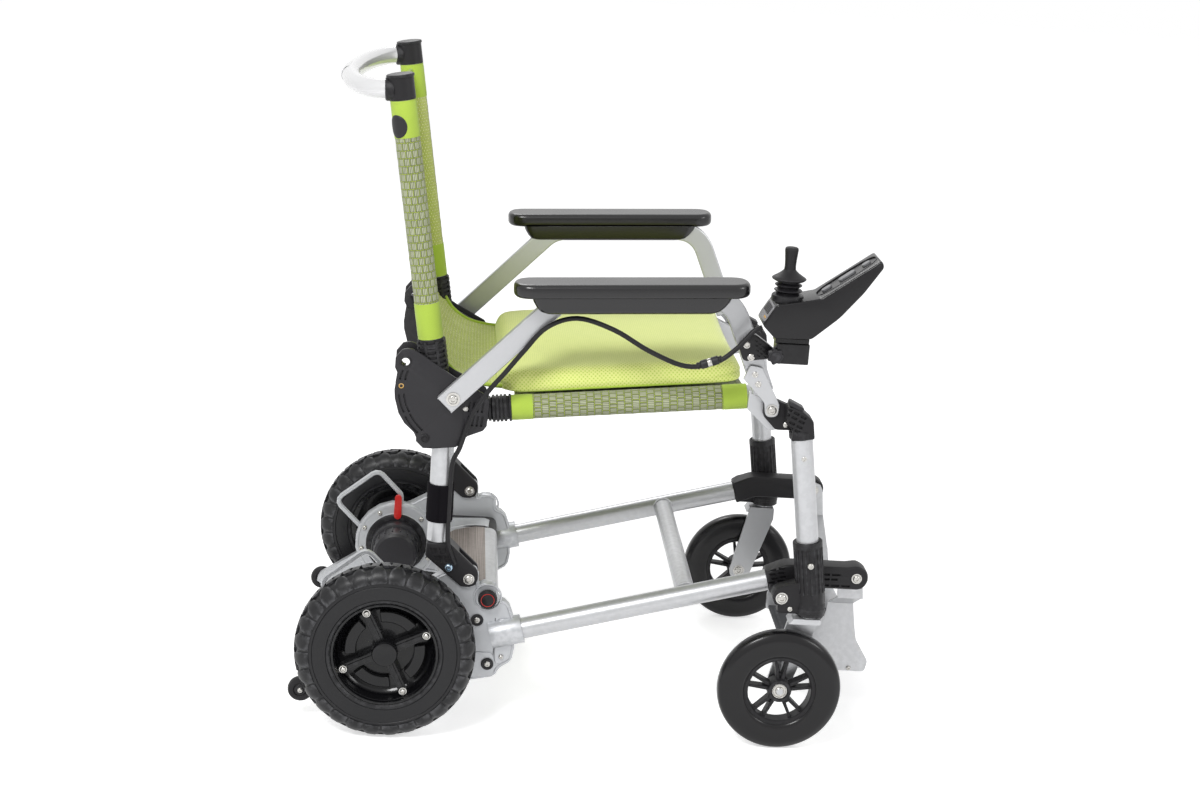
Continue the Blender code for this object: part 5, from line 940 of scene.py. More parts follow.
def drive_rim(name, side):
    """Dished black rim: bead ring, deep well, raised sectors on the disc, four bolted spokes and a hub cap."""
    turn = on_side(0, side * DRIVE_Y, DRIVE_AXLE_Z)
    bm = bmesh.new()
    lathe(bm, mm((-20, 67.2), (-20, 74.2), (20, 74.2), (21.6, 73.8), (22, 72.2), (21.4, 70.8), (18, 70), (16.8, 69),
        (12, 68.4), (9, 66.2), (3, 65.2), (-2, 61), (-4, 56), (-4, 40), (-5.2, 39.6), (-5.2, 19), (-10, 19),
        (-10, 52)), turn.translation, (0, side, 0), 112, True)
    lathe(bm, mm((-25.8, 8.3), (-25.8, 18), (-4, 19), (1, 19), (6, 18.6), (19, 17.8), (20, 17), (21.2, 16.6),
        (21.8, 15), (21.8, 0), (20.6, 0), (20.6, 8.3)), turn.translation, (0, side, 0), 64, True)
    for k in range(4):
        angle = FIRST_SPOKE + 90 * k
        made = plate(bm, turn, ring_sector(0.0405, 0.056, angle + 16, angle + 74, 14), -0.0045, 0.003)
        soften(bm, made, 0.0014, 3, 50)
        spin = turn @ Matrix.Rotation(radians(angle), 4, "Z")
        made = plate(bm, spin, mm((16, -6.6), (60, -6), (68.2, -7.2), (68.2, 7.2), (60, 6), (16, 6.6)), -0.005, 0.01)
        soften(bm, made, 0.0012, 2, 40)
        made = plate(bm, spin, mm((17, -3), (56, -2.6), (56, 2.6), (17, 3)), 0.0095, 0.0118)
        soften(bm, made, 0.0008, 2, 40)
        place = spin @ Vector((BOLT_CIRCLE, 0, 0.006))
        lathe(bm, mm((0, 0), (0, 6.8), (5.4, 6.6), (6.2, 5.8), (6.2, 0)), place, (0, side, 0), 28)
    piece = finish("drive_rim_" + name + "_disc", bm, "drive_wheel_" + name, GLOSS, 30)
    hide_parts("drive_rim_" + name)
    bolts = bmesh.new()
    for k in range(4):
        place = turn @ Matrix.Rotation(radians(FIRST_SPOKE + 90 * k), 4, "Z") @ Vector((BOLT_CIRCLE, 0, 0.0122))
        screw(bolts, place, (0, side, 0), 0.0042, 0.003, 0.42, 0.0054)
    finish("drive_rim_" + name + "_bolts", bolts, "drive_wheel_" + name, BRIGHT)


def caster_wheel(name, side):
    """Smooth caster: moulded tyre, rim lip, five pairs of webbed spokes and a bearing hub."""
    turn = on_side(CASTER_X, side * CASTER_Y, CASTER_AXLE_Z)
    bm = bmesh.new()
    section = mm((11.2, 49), (11.4, 51.2), (12.8, 52.4), (13.8, 55), (14.7, 61), (15, 68), (14.5, 75.2), (13.1, 81.2),
        (12.2, 82.2), (11.6, 84.2), (8.6, 86.5), (4.6, 87.6), (0, 88))
    profile = [(-a, r) for a, r in section] + [(a, r) for a, r in section[-2::-1]]
    lathe(bm, profile, turn.translation, (0, side, 0), 96, True)
    tyre = finish("caster_tyre_" + name, bm, "caster_" + name, CASTER_RUBBER, 40)
    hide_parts("caster_wheel_" + name)
    bm = bmesh.new()
    lathe(bm, mm((-11.8, 49.2), (-11.8, 46), (-10, 44.8), (10, 44.8), (11.8, 46), (12.4, 47.6), (12.6, 49.2),
        (12, 50), (-11.8, 50)), turn.translation, (0, side, 0), 96, True)
    lathe(bm, mm((-12.6, 11.8), (-12.6, 16.4), (-10, 17), (10, 17), (12.6, 16), (13, 11.8)), turn.translation,
        (0, side, 0), 48, True)
    for k in range(5):
        middle = 90 + k * 72
        for lean in (-11, 11):
            spin = turn @ Matrix.Rotation(radians(middle + lean), 4, "Z")
            made = plate(bm, spin, mm((15, -2.6), (44, -1.9), (46.2, -3.4), (46.2, 3.4), (44, 1.9), (15, 2.6)),
                -0.0076, 0.0076)
            soften(bm, made, 0.0007, 2, 40)
        web = ring_sector(0.016, 0.024, middle - 9, middle + 9, 5)
        plate(bm, turn, web, -0.003, 0.003)
    finish("caster_spokes_" + name, bm, "caster_" + name, BLACK, 30)
    hub = bmesh.new()
    lathe(hub, mm((-12.2, 5.3), (-12.2, 11), (11.8, 11), (12.2, 10.4), (11.6, 9.4), (10.4, 8.8), (10.4, 5.3)),
        turn.translation, (0, side, 0), 40, True)
    finish("caster_bearing_" + name, hub, "caster_" + name, BRIGHT)


def caster_fork(name, side):
    """One-sided caster fork and the screws at both ends of its axle."""
    carry_over("caster_fork_" + name, "swivel_" + name, SILVER, None, 0.0009)
    bm = bmesh.new()
    centre = Vector((CASTER_X, side * CASTER_Y, CASTER_AXLE_Z))
    inner = side * (CASTER_Y - 0.015 - 0.003 - 0.005)
    screw(bm, (CASTER_X, inner, CASTER_AXLE_Z), (0, -side, 0), 0.0066, 0.0036, 0.42, 0.009)
    screw(bm, centre + Vector((0, side * 0.0106, 0)), (0, side, 0), 0.006, 0.003, 0.48)
    finish("caster_axle_screws_" + name, bm, "swivel_" + name, BRIGHT)


def tip_roller(name, side):
    """Small roller behind the axle that stops the chair from tipping back."""
    bm = bmesh.new()
    centre = (ROLLER_X, side * 0.228, ROLLER_Z)
    lathe(bm, mm((-6.8, 4.6), (-6.8, 8), (-5.8, 9), (-6.8, 10), (-6.8, 13.8), (-5.6, 16.4), (-3, 17.7), (0, 18),
        (3, 17.7), (5.6, 16.4), (6.8, 13.8), (6.8, 10), (5.8, 9), (6.8, 8), (6.8, 4.6)), centre, (0, side, 0), 56,
        True)
    piece = finish("tip_roller_tyre_" + name, bm, "tip_roller_" + name, BLACK)
    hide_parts("anti_tip_wheel_" + name)


# Drive unit

def gear_motor(name, side):
    """Domed motor can with its ribs, the dark seal ring, and the flange ring with its screws."""
    inward = (0, -side, 0)
    face = Vector((0, side * 0.178, DRIVE_AXLE_Z))
    bm = bmesh.new()
    lathe(bm, mm((-5.6, 0), (-5.6, 38.8), (12, 38.8), (25, 38.6), (26.4, 37.8), (27.2, 35.2), (29, 34.9), (48, 34.7),
        (54, 33.2), (57.2, 29), (58, 20), (58, 0)), face, inward, 72)
    ribs_round(bm, Matrix.Translation(face) @ frame_along(inward), 18, mm((33.5, -1.1), (36.2, -0.8), (36.2, 0.8),
        (33.5, 1.1)), 0.0292, 0.047)
    piece = finish("motor_can_" + name, bm, "chair", PLATE_BLACK)
    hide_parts("motor_" + name)
    ring = bmesh.new()
    lathe(ring, mm((0.1, 39.2), (0.1, 47.6), (3, 47.6), (4.4, 46.2), (4.4, 39.2)), face, inward, 72, True)
    finish("gearbox_seal_" + name, ring, "chair", BLACK)
    ring = bmesh.new()
    lathe(ring, mm((0.1, 48.2), (0.1, 63.6), (1, 64.2), (2.2, 63.6), (2.2, 60), (1.6, 59.4), (1.6, 49.4), (2.2, 48.8),
        (2.2, 48.2)), face, inward, 96, True)
    finish("gearbox_flange_" + name, ring, "chair", CAST)
    screws = bmesh.new()
    for k in range(10):
        angle = radians(36 * k + 12)
        if abs(degrees(angle) - 90) < 20:
            continue
        place = face + Vector((0.0558 * cos(angle), -side * 0.0017, 0.0558 * sin(angle)))
        screw(screws, place, inward, 0.004, 0.0028)
    finish("gearbox_screws_" + name, screws, "chair", BRIGHT)


def cast_plate(name, side):
    """The cast axle plate with a bead round its edge, raised pads, two raised rings and a black strip of painted
    shade in its seam.
    """
    carry_over("axle_casting_" + name, "chair", CAST, None, 0.0008)
    outline = rounded([(-0.03, DRIVE_AXLE_Z + 0.04, 0.02), (0.02, DRIVE_AXLE_Z + 0.062, 0.03),
        (LEG_PIVOT[0] - 0.016, LEG_PIVOT[1] + 0.016, 0.012), (LEG_PIVOT[0] + 0.014, LEG_PIVOT[1] + 0.015, 0.012),
        (0.125, 0.201, 0.004), (0.129, 0.208, 0.01), (0.155, 0.206, 0.012), (0.153, 0.185, 0.006),
        (0.169, 0.179, 0.012), (0.177, 0.158, 0.01), (0.181, 0.112, 0.012), (0.178, 0.092, 0.01), (0.16, 0.08, 0.012),
        (0.156, 0.068, 0.008), (0.118, 0.06, 0.01), (0.06, 0.074, 0.02), (-0.03, DRIVE_AXLE_Z - 0.046, 0.02)], 5)
    bm = bmesh.new()
    for y in (0.2098, 0.1942):
        loop = inset_loop(outline, 0.003)
        sweep(bm, [(x, side * y, z) for x, z in loop + loop[:1]], 0.0013, 8)
    made = side_prism(bm, rounded(mm((118, 64, 6), (153, 70, 6), (156, 86, 6), (150, 104, 6), (122, 104, 8)), 5),
        side, 0.2095, 0.2118)
    soften(bm, made, 0.0009, 2, 50)
    made = side_prism(bm, rounded(mm((154.5, 85, 6), (174.5, 95, 6), (177, 112, 6), (173, 156, 6), (156, 156, 6),
        (152, 120, 6)), 5), side, 0.2095, 0.2126)
    soften(bm, made, 0.0011, 2, 50)
    lathe(bm, mm((-0.4, 17.6), (-0.4, 20.4), (1.2, 20.2), (2, 19.6), (2, 18.4), (1.2, 17.8)),
        (LOCK_X, side * 0.21, LOCK_Z), (0, side, 0), 56, True)
    lathe(bm, mm((-0.4, 9.8), (-0.4, 13), (1.4, 12.6), (1.4, 10)), at(LEG_PIVOT, side * 0.194), (0, -side, 0), 40,
        True)
    finish("casting_beads_" + name, bm, "chair", CAST)
    # Painted shade: a thin black strip stands for the shade in the casting's seam.
    seam_shade = bmesh.new()
    low, high = sorted((side * 0.2094, side * 0.2104))
    block(seam_shade, (0.1512, low, 0.088), (0.1522, high, 0.156))
    finish("casting_seam_shade_" + name, seam_shade, "chair", BLACK)


def casting_fittings(name, side):
    """Screws of the casting: two in black rings, the axle cover's, the leg's pivot and the roller's."""
    rings, heads = bmesh.new(), bmesh.new()
    for x, z in ((0.126, 0.152), (0.144, 0.087), (0.163, 0.099)):
        big = (x, z) != (0.163, 0.099)
        ground = 0.2101 if z > 0.12 else 0.2118 if big else 0.2126
        if big:
            lathe(rings, mm((0, 4.6), (0, 8.6), (1.4, 9), (2.6, 8.2), (2.6, 4.6)), (x, side * ground, z),
                (0, side, 0), 36, True)
        screw(heads, (x, side * (ground + 0.0004), z), (0, side, 0), 0.0048 if big else 0.0036, 0.003)
    finish("casting_rings_" + name, rings, "chair", BLACK)
    for angle in (60, -60, 180):
        a = radians(angle)
        screw(heads, (0.0295 * cos(a), side * 0.2338, DRIVE_AXLE_Z + 0.0295 * sin(a)), (0, side, 0), 0.003, 0.002)
    pivot = at(LEG_PIVOT, side * (0.21 + 0.0072 + 0.0003))
    screw(heads, pivot, (0, side, 0), 0.0062, 0.0034, 0.45, 0.0078)
    inner = at(LEG_PIVOT, side * (0.194 - 0.0072 - 0.0003))
    screw(heads, inner, (0, -side, 0), 0.0062, 0.0034, 0.45, 0.0078)
    screw(heads, (ROLLER_X, side * 0.2352, ROLLER_Z), (0, side, 0), 0.004, 0.0026)
    finish("casting_screws_" + name, heads, "chair", BRIGHT)


def lock_knob(name, side):
    """Ribbed pull knob with a red ring and a domed middle."""
    face = Vector((LOCK_X, side * 0.2103, LOCK_Z))
    bm = bmesh.new()
    lathe(bm, mm((-9.6, 0), (-9.6, 3.9), (0, 3.9), (0, 9.2), (3, 10), (4, 12), (5.2, 12.8), (12, 12.8), (14, 12.2),
        (14.6, 10.6), (13.8, 9.8), (13.8, 8.4), (15, 6), (15.7, 3), (15.9, 0)), face, (0, side, 0), 72)
    ribs_round(bm, Matrix.Translation(face) @ frame_along((0, side, 0)), 30, mm((12, -0.7), (13.4, -0.4), (13.4, 0.4),
        (12, 0.7)), 0.0046, 0.013)
    piece = finish("lock_knob_grip_" + name, bm, "knob_" + name, BLACK)
    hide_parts("lock_knob_" + name)
    ring = bmesh.new()
    lathe(ring, mm((13.4, 8.6), (13.4, 9.7), (14.3, 9.5), (14.3, 8.8)), face, (0, side, 0), 56, True)
    finish("lock_knob_ring_" + name, ring, "knob_" + name, RED)


def release_lever(name, side):
    """The red release lever."""
    carry_over("release_lever_" + name, "lever_" + name, RED, None, 0.0007)


def battery():
    """Battery case between the castings: silver extrusion with a brushed brown top, and a black cap at each end."""
    low, high, top = 0.0667, 0.1568, 0.1748
    seam = 0.13
    section = rounded([(low, 0.0852, 0.008), (high, 0.0852, 0.008), (high, top, 0.015), (low, top, 0.015)], 8)
    bm = bmesh.new()
    made = prism(bm, section, -seam + 0.0006, seam - 0.0006)
    for k in range(3):
        z = 0.11 + 0.016 * k
        for x in (low, high):
            rib = block(bm, (x - 0.0006, -seam + 0.004, z), (x + 0.0006, seam - 0.004, z + 0.005))
            soften(bm, rib, 0.0004, 2)
    case = finish("battery_extrusion", bm, "chair", SILVER)
    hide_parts("battery_box")
    bm = bmesh.new()
    for side in SIDES.values():
        made = side_prism(bm, section, side, seam + 0.0006, 0.1848)
        soften(bm, made, 0.0016, 3, 60)
    finish("battery_end_caps", bm, "chair", BLACK)
    rim = [(low + 0.006, 0.131), (low + 0.006, 0.103), (low + 0.024, 0.121), (low + 0.042, 0.133),
        (low + 0.056, 0.137), (low + 0.07, 0.136), (low + 0.076, 0.13), (low + 0.078, 0.164), (low + 0.07, 0.172),
        (low + 0.006, 0.164)]
    panel = [(low + 0.01, -0.1795), (low + 0.01, 0.088), (low + 0.024, 0.11), (low + 0.042, 0.124),
        (low + 0.056, 0.13), (low + 0.069, 0.129), (low + 0.0705, 0.124), (low + 0.0705, -0.1795)]
    for part, outline, height, edge, material in (("battery_bezel", rim, 0.002, 0.0007, CAST),
            ("battery_top_panel", panel, 0.0011, 0.0004, BRONZE)):
        bm = bmesh.new()
        plate(bm, Matrix.Translation((0, 0, top - 0.0002)), outline, 0, height)
        soften(bm, bm.verts, edge, 2)
        finish(part, bm, "chair", material)


# Frame mouldings

def carve(piece, cutters):
    """Takes the cutters' shape away from a finished piece."""
    bmesh.ops.translate(cutters, vec=(CHAIR_X, 0, 0), verts=cutters.verts[:])
    bmesh.ops.recalc_face_normals(cutters, faces=cutters.faces[:])
    tool = put("cutter", cutters)
    mesh = tool.data
    cut = piece.modifiers.new("cut", "BOOLEAN")
    cut.operation, cut.solver, cut.object = "DIFFERENCE", "EXACT", tool
    bpy.context.view_layer.update()
    result = bpy.data.meshes.new_from_object(piece.evaluated_get(bpy.context.evaluated_depsgraph_get()))
    piece.modifiers.clear()
    old, piece.data = piece.data, result
    bpy.data.objects.remove(tool, do_unlink=True)
    bpy.data.meshes.remove(mesh)
    bpy.data.meshes.remove(old)
    limit = cos(radians(34))
    bm = bmesh.new()
    bm.from_mesh(result)
    for edge in bm.edges:
        edge.smooth = len(edge.link_faces) == 2 and edge.link_faces[0].normal.dot(edge.link_faces[1].normal) > limit
    for face in bm.faces:
        face.smooth = True
    bm.to_mesh(result)
    bm.free()


def back_hinge(name, side):
    """Hinge plates with arc slots, slits over the rail's socket, the ribbed post socket and their fasteners."""
    piece = carry_over("back_hinge_" + name, "rear_frame", PLATE_BLACK, None, 0.0008)
    cutters = bmesh.new()
    for points in mm(((5.2, 514), (2.8, 507), (1.8, 500.5)), ((12, 513.8), (9.8, 507), (8.9, 500.3)),
            ((1.2, 479.5), (4.2, 466.6), (9.2, 454.5)), ((7.8, 480.8), (11, 467.8), (16.4, 455.5)),
            ((11.4, 448.9), (19.4, 437), (29.3, 426.3)), ((17.6, 452.7), (25.7, 440.8), (35.6, 430))):
        line = [Vector((p[0], p[2])) for p in smooth_route([(x, 0, z) for x, z in points], 4)]
        side_prism(cutters, offset_band(line, 0.0014), side, 0.2204, 0.228)
    pockets(cutters, side, [(0.0975 + 0.0062 * k, z) for k in range(4) for z in (0.467, 0.447)], 0.015, 0.003, 84,
        0.2206, 0.228)
    lathe(cutters, mm((170, 0), (170, 5.8), (230, 5.8), (230, 0)), (0.0082, 0, 0.5255), (0, side, 0), 28)
    carve(piece, cutters)
    cutters = bmesh.new()
    lathe(cutters, mm((170, 0), (170, 11), (206, 11), (206, 0)), (0.009, 0, 0.515), (0, side, 0), 28)
    carve(piece, cutters)
    rib = bmesh.new()
    foot, head = post_point(0.507), post_point(0.556)
    length = (head - foot).length
    profile = [(0, 0.0161), (0, 0.0182)]
    for k in range(6):
        base = 0.006 + k * 0.007
        if base + 0.004 > length:
            break
        profile += [(base, 0.0182), (base + 0.0004, 0.0202), (base + 0.0036, 0.0202), (base + 0.004, 0.0182)]
    profile += [(length - 0.0006, 0.0182), (length, 0.0178), (length, 0.0161)]
    lathe(rib, profile, at(foot, side * FRAME_Y), at(POST_WAY, 0), 48, True)
    turn = Matrix.Translation(at(foot, side * FRAME_Y)) @ frame_along(at(POST_WAY, 0))
    for k in range(8):
        spin = turn @ Matrix.Rotation(pi * (k + 0.5) / 4, 4, "Z")
        made = plate(rib, spin, oblong(0.0176, 0.0204, 0.002), 0.002, length - 0.002)
        soften(rib, made, 0.0006, 2, 40)
    lathe(rib, mm((0, 16.1), (0, 17.8), (0.6, 18.4), (3.4, 18.4), (4, 18), (4, 16.1)),
        (LEG_X, side * FRAME_Y, 0.4106), (0, 0, 1), 48, True)
    lathe(rib, mm((-1, 0), (-1, 6.2), (1.6, 6), (2, 5.2), (1.2, 4.6), (1.2, 3), (2, 2.6), (2, 0)),
        (0.0398, side * 0.224, 0.4189), (0, side, 0), 32)
    lathe(rib, mm((-1, 6), (-1, 8.8), (1, 8.4), (1.4, 7.4), (1, 6.2)), (0.0082, side * 0.224, 0.5255), (0, side, 0),
        36, True)
    finish("post_socket_ribs_" + name, rib, "rear_frame", BLACK)
    heads = bmesh.new()
    screw(heads, at(ARM_PIVOT, side * 0.24), (0, side, 0), 0.0066, 0.0036, 0.45, 0.0096)
    screw(heads, (0.093, side * 0.2241, 0.464), (0, side, 0), 0.0036, 0.0016)
    screw(heads, (0.04, side * 0.1799, 0.42), (0, -side, 0), 0.0046, 0.0028, 0.45, 0.0062)
    finish("hinge_screws_" + name, heads, "rear_frame", BRIGHT)
    insert = bmesh.new()
    lathe(insert, mm((-2, 0), (-2, 3.4), (0.8, 3.6), (0.8, 2.2), (-1, 2), (-1, 0)), (0.0038, side * 0.224, 0.492),
        (0, side, 0), 24)
    finish("hinge_insert_" + name, insert, "rear_frame", BRASS)


def leg_foot(name, side):
    """Moulding at the rear leg's foot and its screw."""
    carry_over("leg_foot_" + name, "rear_frame", BLACK, None, 0.0009)
    heads = bmesh.new()
    screw(heads, (0.0822, side * 0.2178, 0.231), (0, side, 0), 0.0058, 0.0034)
    finish("leg_foot_screw_" + name, heads, "rear_frame", ZINC)


def rail_socket(name, side):
    """Ribbed moulding round the rail's rear end."""
    start = rail_point(0.093)
    mouth = (RAIL_REAR - start).length
    bm = bmesh.new()
    profile = [(0.002, 0), (0.002, 0.014), (0.0034, 0.015)]
    base = 0.01
    while base + 0.0048 < mouth - 0.002:
        ridge = 0.0172 if base < 0.033 else 0.0189
        profile += [(base, ridge - 0.0022), (base + 0.0003, ridge), (base + 0.0036, ridge),
            (base + 0.0039, ridge - 0.0022)]
        base += 0.0054
    profile += [(mouth - 0.0034, 0.0162), (mouth - 0.003, 0.0186), (mouth - 0.0026, 0.019), (mouth - 0.0006, 0.019),
        (mouth, 0.0184), (mouth, 0.0162), (mouth - 0.015, 0.0162), (mouth - 0.015, 0)]
    lathe(bm, profile, at(start, side * FRAME_Y), at(RAIL_WAY, 0), 56)
    lathe(bm, mm((-16.2, 5.4), (-16.2, 14.4), (-15.6, 15), (15.6, 15), (16.2, 14.4), (16.2, 5.4)),
        (0.093, side * FRAME_Y, 0.464), (0, side, 0), 40, True)
    piece = finish("rail_socket_ribs_" + name, bm, "seat", BLACK)
    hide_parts("rail_socket_" + name)


def seat_rail(name, side):
    """Seat tube and the plate at its front end."""
    rear, front = rail_point(0.1415), RAIL_FRONT
    bm = bmesh.new()
    length = (front - rear).length
    lathe(bm, [(0, 0), (0, FRAME_R - 0.0004), (0.0006, FRAME_R), (length + 0.003, FRAME_R),
        (length + 0.0038, FRAME_R - 0.0008), (length + 0.004, 0)], at(rear, side * FRAME_Y), at(RAIL_WAY, 0), 40)
    x, z = SEAT_JOINT
    made = side_prism(bm, rounded([(front[0] - 0.001, front[1] + 0.013, 0.004),
        (front[0] - 0.001, front[1] - 0.013, 0.004), (x - 0.016, z - 0.018, 0.01), (x + 0.011, z - 0.011, 0.01),
        (x + 0.011, z + 0.01, 0.01), (x - 0.012, z + 0.02, 0.012)], 6), side, 0.206, 0.2255)
    soften(bm, made, 0.001, 2, 50)
    piece = finish("seat_rail_tube_" + name, bm, "seat", SILVER)
    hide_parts("seat_rail_" + name)
    heads = bmesh.new()
    screw(heads, (x, side * 0.2058, z), (0, -side, 0), 0.0062, 0.0032, 0.45, 0.008)
    finish("seat_rail_screw_" + name, heads, "seat", BRIGHT)


def meet(a, along_a, b, along_b):
    """Where two straight lines in X and Z cross."""
    det = along_a[0] * along_b[1] - along_a[1] * along_b[0]
    return a + along_a * (((b[0] - a[0]) * along_b[1] - (b[1] - a[1]) * along_b[0]) / det)


def arm_line(steps):
    """Centre line of the armrest tube in X and Z."""
    rising, level, falling = (Vector((cos(radians(a)), sin(radians(a)))) for a in (46.0, 3.4, -67.0))
    origin, rear, front = Vector((0.2, 0.63)), Vector((0.0637, 0.471)), Vector((0.498, 0.515))
    corners = [rear, meet(rear, rising, origin, level), meet(front, falling, origin, level), front]
    return [Vector((p[0], p[2])) for p in arc_path([at(c, 0) for c in corners], 0.05, steps)]


def offset_band(line, half):
    """Outline of a band that runs along a line, half its width to each side."""
    upper, lower = [], []
    for point, run in zip(line, ways(line)):
        across = Vector((-run[1], run[0])) * half
        upper.append(point + across)
        lower.append(point - across)
    return [(p[0], p[1]) for p in upper + lower[::-1]]


def arm_tube(name, side):
    """Flat armrest tube with rolled lips, and the riveted plate on its front end."""
    bm = bmesh.new()
    line = arm_line(12)
    made = side_prism(bm, offset_band(line, 0.0146), side, 0.2279, 0.2394)
    soften(bm, made, 0.0022, 3, 50)
    for half in (0.0132, -0.0132):
        lip = [(p[0] - run[1] * half, side * 0.2392, p[1] + run[0] * half) for p, run in zip(line, ways(line))]
        sweep(bm, lip, 0.0008, 8)
    x, z = ARM_JOINT
    made = side_prism(bm, rounded([(0.476, 0.553, 0.005), (0.468, 0.533, 0), (x - 0.011, z + 0.01, 0.014),
        (x - 0.0085, z - 0.0105, 0.009), (x + 0.0095, z - 0.0095, 0.009), (x + 0.01, z + 0.008, 0.006),
        (0.493, 0.55, 0.006)], 6), side, 0.2403, 0.2443)
    soften(bm, made, 0.0008, 2, 50)
    piece = finish("arm_tube_" + name + "_band", bm, "armrest_" + name, SILVER)
    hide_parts("arm_tube_" + name)
    heads = bmesh.new()
    for place in ((0.4835, 0.54), (0.489, 0.5265)):
        lathe(heads, mm((0, 0), (0, 4.4), (1, 4.2), (1.6, 3), (1.2, 2.2), (0.4, 2), (0.4, 0)),
            at(place, side * 0.2443), (0, side, 0), 28)
    screw(heads, (x, side * 0.245, z), (0, side, 0), 0.0064, 0.0034, 0.45, 0.0082)
    finish("arm_rivets_" + name, heads, "armrest_" + name, BRIGHT)


def arm_pad(name, side):
    """Armrest pad: a slab with rounded ends over a body that draws in along its slanted ends."""
    turn = Matrix.Translation((0.147, side * 0.2545, 0.653)) @ Matrix.Rotation(radians(-3.4), 4, "Y")
    length, offset = 0.3176, 0.0022
    bm = bmesh.new()
    made = plate(bm, turn, rounded_oblong(0.0, length, 0.0298, 0.036, 9), -0.0195, 0.0)
    soften(bm, made, 0.0062, 5, 50)
    sections = mm((24, 25, -18), (26.2, 28.5, -25), (30, 34.5, -32), (34.5, 40.5, -37.5), (42, 49, -40.8))
    rear, front, level = sections[0]
    half = 0.0292
    outline = rounded_oblong(rear, length - front, half, 0.012, 6)
    face = bm.faces.new([bm.verts.new(turn @ Vector((x, y - side * offset, level))) for x, y in outline])
    for (rear_now, front_now, level_now), half_now in zip(sections[1:], (0.029, 0.0284, 0.027, 0.023)):
        grown = bmesh.ops.extrude_face_region(bm, geom=[face])["geom"]
        bmesh.ops.delete(bm, geom=[face], context="FACES_ONLY")
        face = next(g for g in grown if isinstance(g, bmesh.types.BMFace))
        ring = list(face.verts)
        middle = (rear + length - front) / 2
        bmesh.ops.transform(bm, matrix=turn.inverted(), verts=ring)
        bmesh.ops.translate(bm, vec=(-middle, side * offset, -level), verts=ring)
        wide = (length - rear_now - front_now) / (length - rear - front)
        bmesh.ops.scale(bm, vec=(wide, half_now / half, 1), verts=ring)
        bmesh.ops.translate(bm, vec=((rear_now + length - front_now) / 2, -side * offset, level_now), verts=ring)
        bmesh.ops.transform(bm, matrix=turn, verts=ring)
        rear, front, half, level = rear_now, front_now, half_now, level_now
    piece = finish("arm_pad_" + name + "_cover", bm, "armrest_" + name, PAD_BLACK, 40)
    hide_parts("arm_pad_" + name)


def knuckle(name, side):
    """Moulded head of the front leg: a lug for both pivots, a body with slanted pockets, and a cap on its back."""
    (ax, az), (sx, sz) = ARM_JOINT, SEAT_JOINT
    top = (stem_x(0.4564), 0.4564)
    bm = bmesh.new()
    made = side_prism(bm, rounded([(ax - 0.0105, az + 0.009, 0.009), (ax - 0.01, az - 0.0105, 0.009),
        (sx - 0.01, sz - 0.012, 0.01), (top[0] - 0.008, top[1] + 0.006, 0.002), (top[0] + 0.008, top[1] + 0.03, 0.01),
        (ax + 0.006, az + 0.0135, 0.008)], 6), side, 0.2262, 0.2397)
    soften(bm, made, 0.0009, 2, 50)
    lathe(bm, mm((-18, 0), (-18, 12.4), (0.6, 12.4), (0.6, 16.6), (1.6, 17.2), (10, 17.2), (12, 15), (12, 0)),
        at(top, side * FRONT_LEG_Y), (-STEM_TILT, 0, 1), 40)
    piece = finish("knuckle_body_" + name, bm, "leg_" + name, BLACK)
    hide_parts("leg_knuckle_" + name)
    bm = bmesh.new()
    made = side_prism(bm, rounded([(top[0] - 0.016, top[1] - 0.0022, 0.002), (top[0] + 0.016, top[1] + 0.0022, 0.003),
        (top[0] + 0.012, top[1] + 0.028, 0.008), (top[0] - 0.002, top[1] + 0.039, 0.008),
        (ax + 0.019, az + 0.013, 0.006), (ax + 0.0185, az - 0.013, 0.004), (top[0] - 0.015, top[1] + 0.012, 0.006)],
        6), side, 0.2357, 0.2663)
    soften(bm, made, 0.0016, 3, 50)
    piece = finish("knuckle_head_" + name, bm, "leg_" + name, BLACK)
    cutters = bmesh.new()
    pockets(cutters, side, mm((531.5, 499), (542, 494), (552, 489), (529, 492.5), (539.5, 487.5), (550, 482.5),
        (537, 480), (547.5, 475.2), (535, 473.5), (545.5, 469)), 0.0088, 0.0038, -25, 0.2636, 0.272)
    carve(piece, cutters)
    cap = bmesh.new()
    made = side_prism(cap, rounded(mm((531, 504, 2), (550, 495, 2), (553, 500.5, 2), (533, 510, 2)), 3), side, 0.244,
        0.264)
    soften(cap, made, 0.001, 2, 50)
    finish("knuckle_cap_" + name, cap, "leg_" + name, PLATE_BLACK)
    heads = bmesh.new()
    screw(heads, (stem_x(0.43), side * (FRONT_LEG_Y + FRONT_LEG_R - 0.0004), 0.43), (0, side, 0), 0.0036, 0.0016)
    screw(heads, (sx + 0.004, side * 0.2397, sz - 0.004), (0, side, 0), 0.004, 0.0016)
    finish("leg_rivet_" + name, heads, "leg_" + name, BRIGHT)


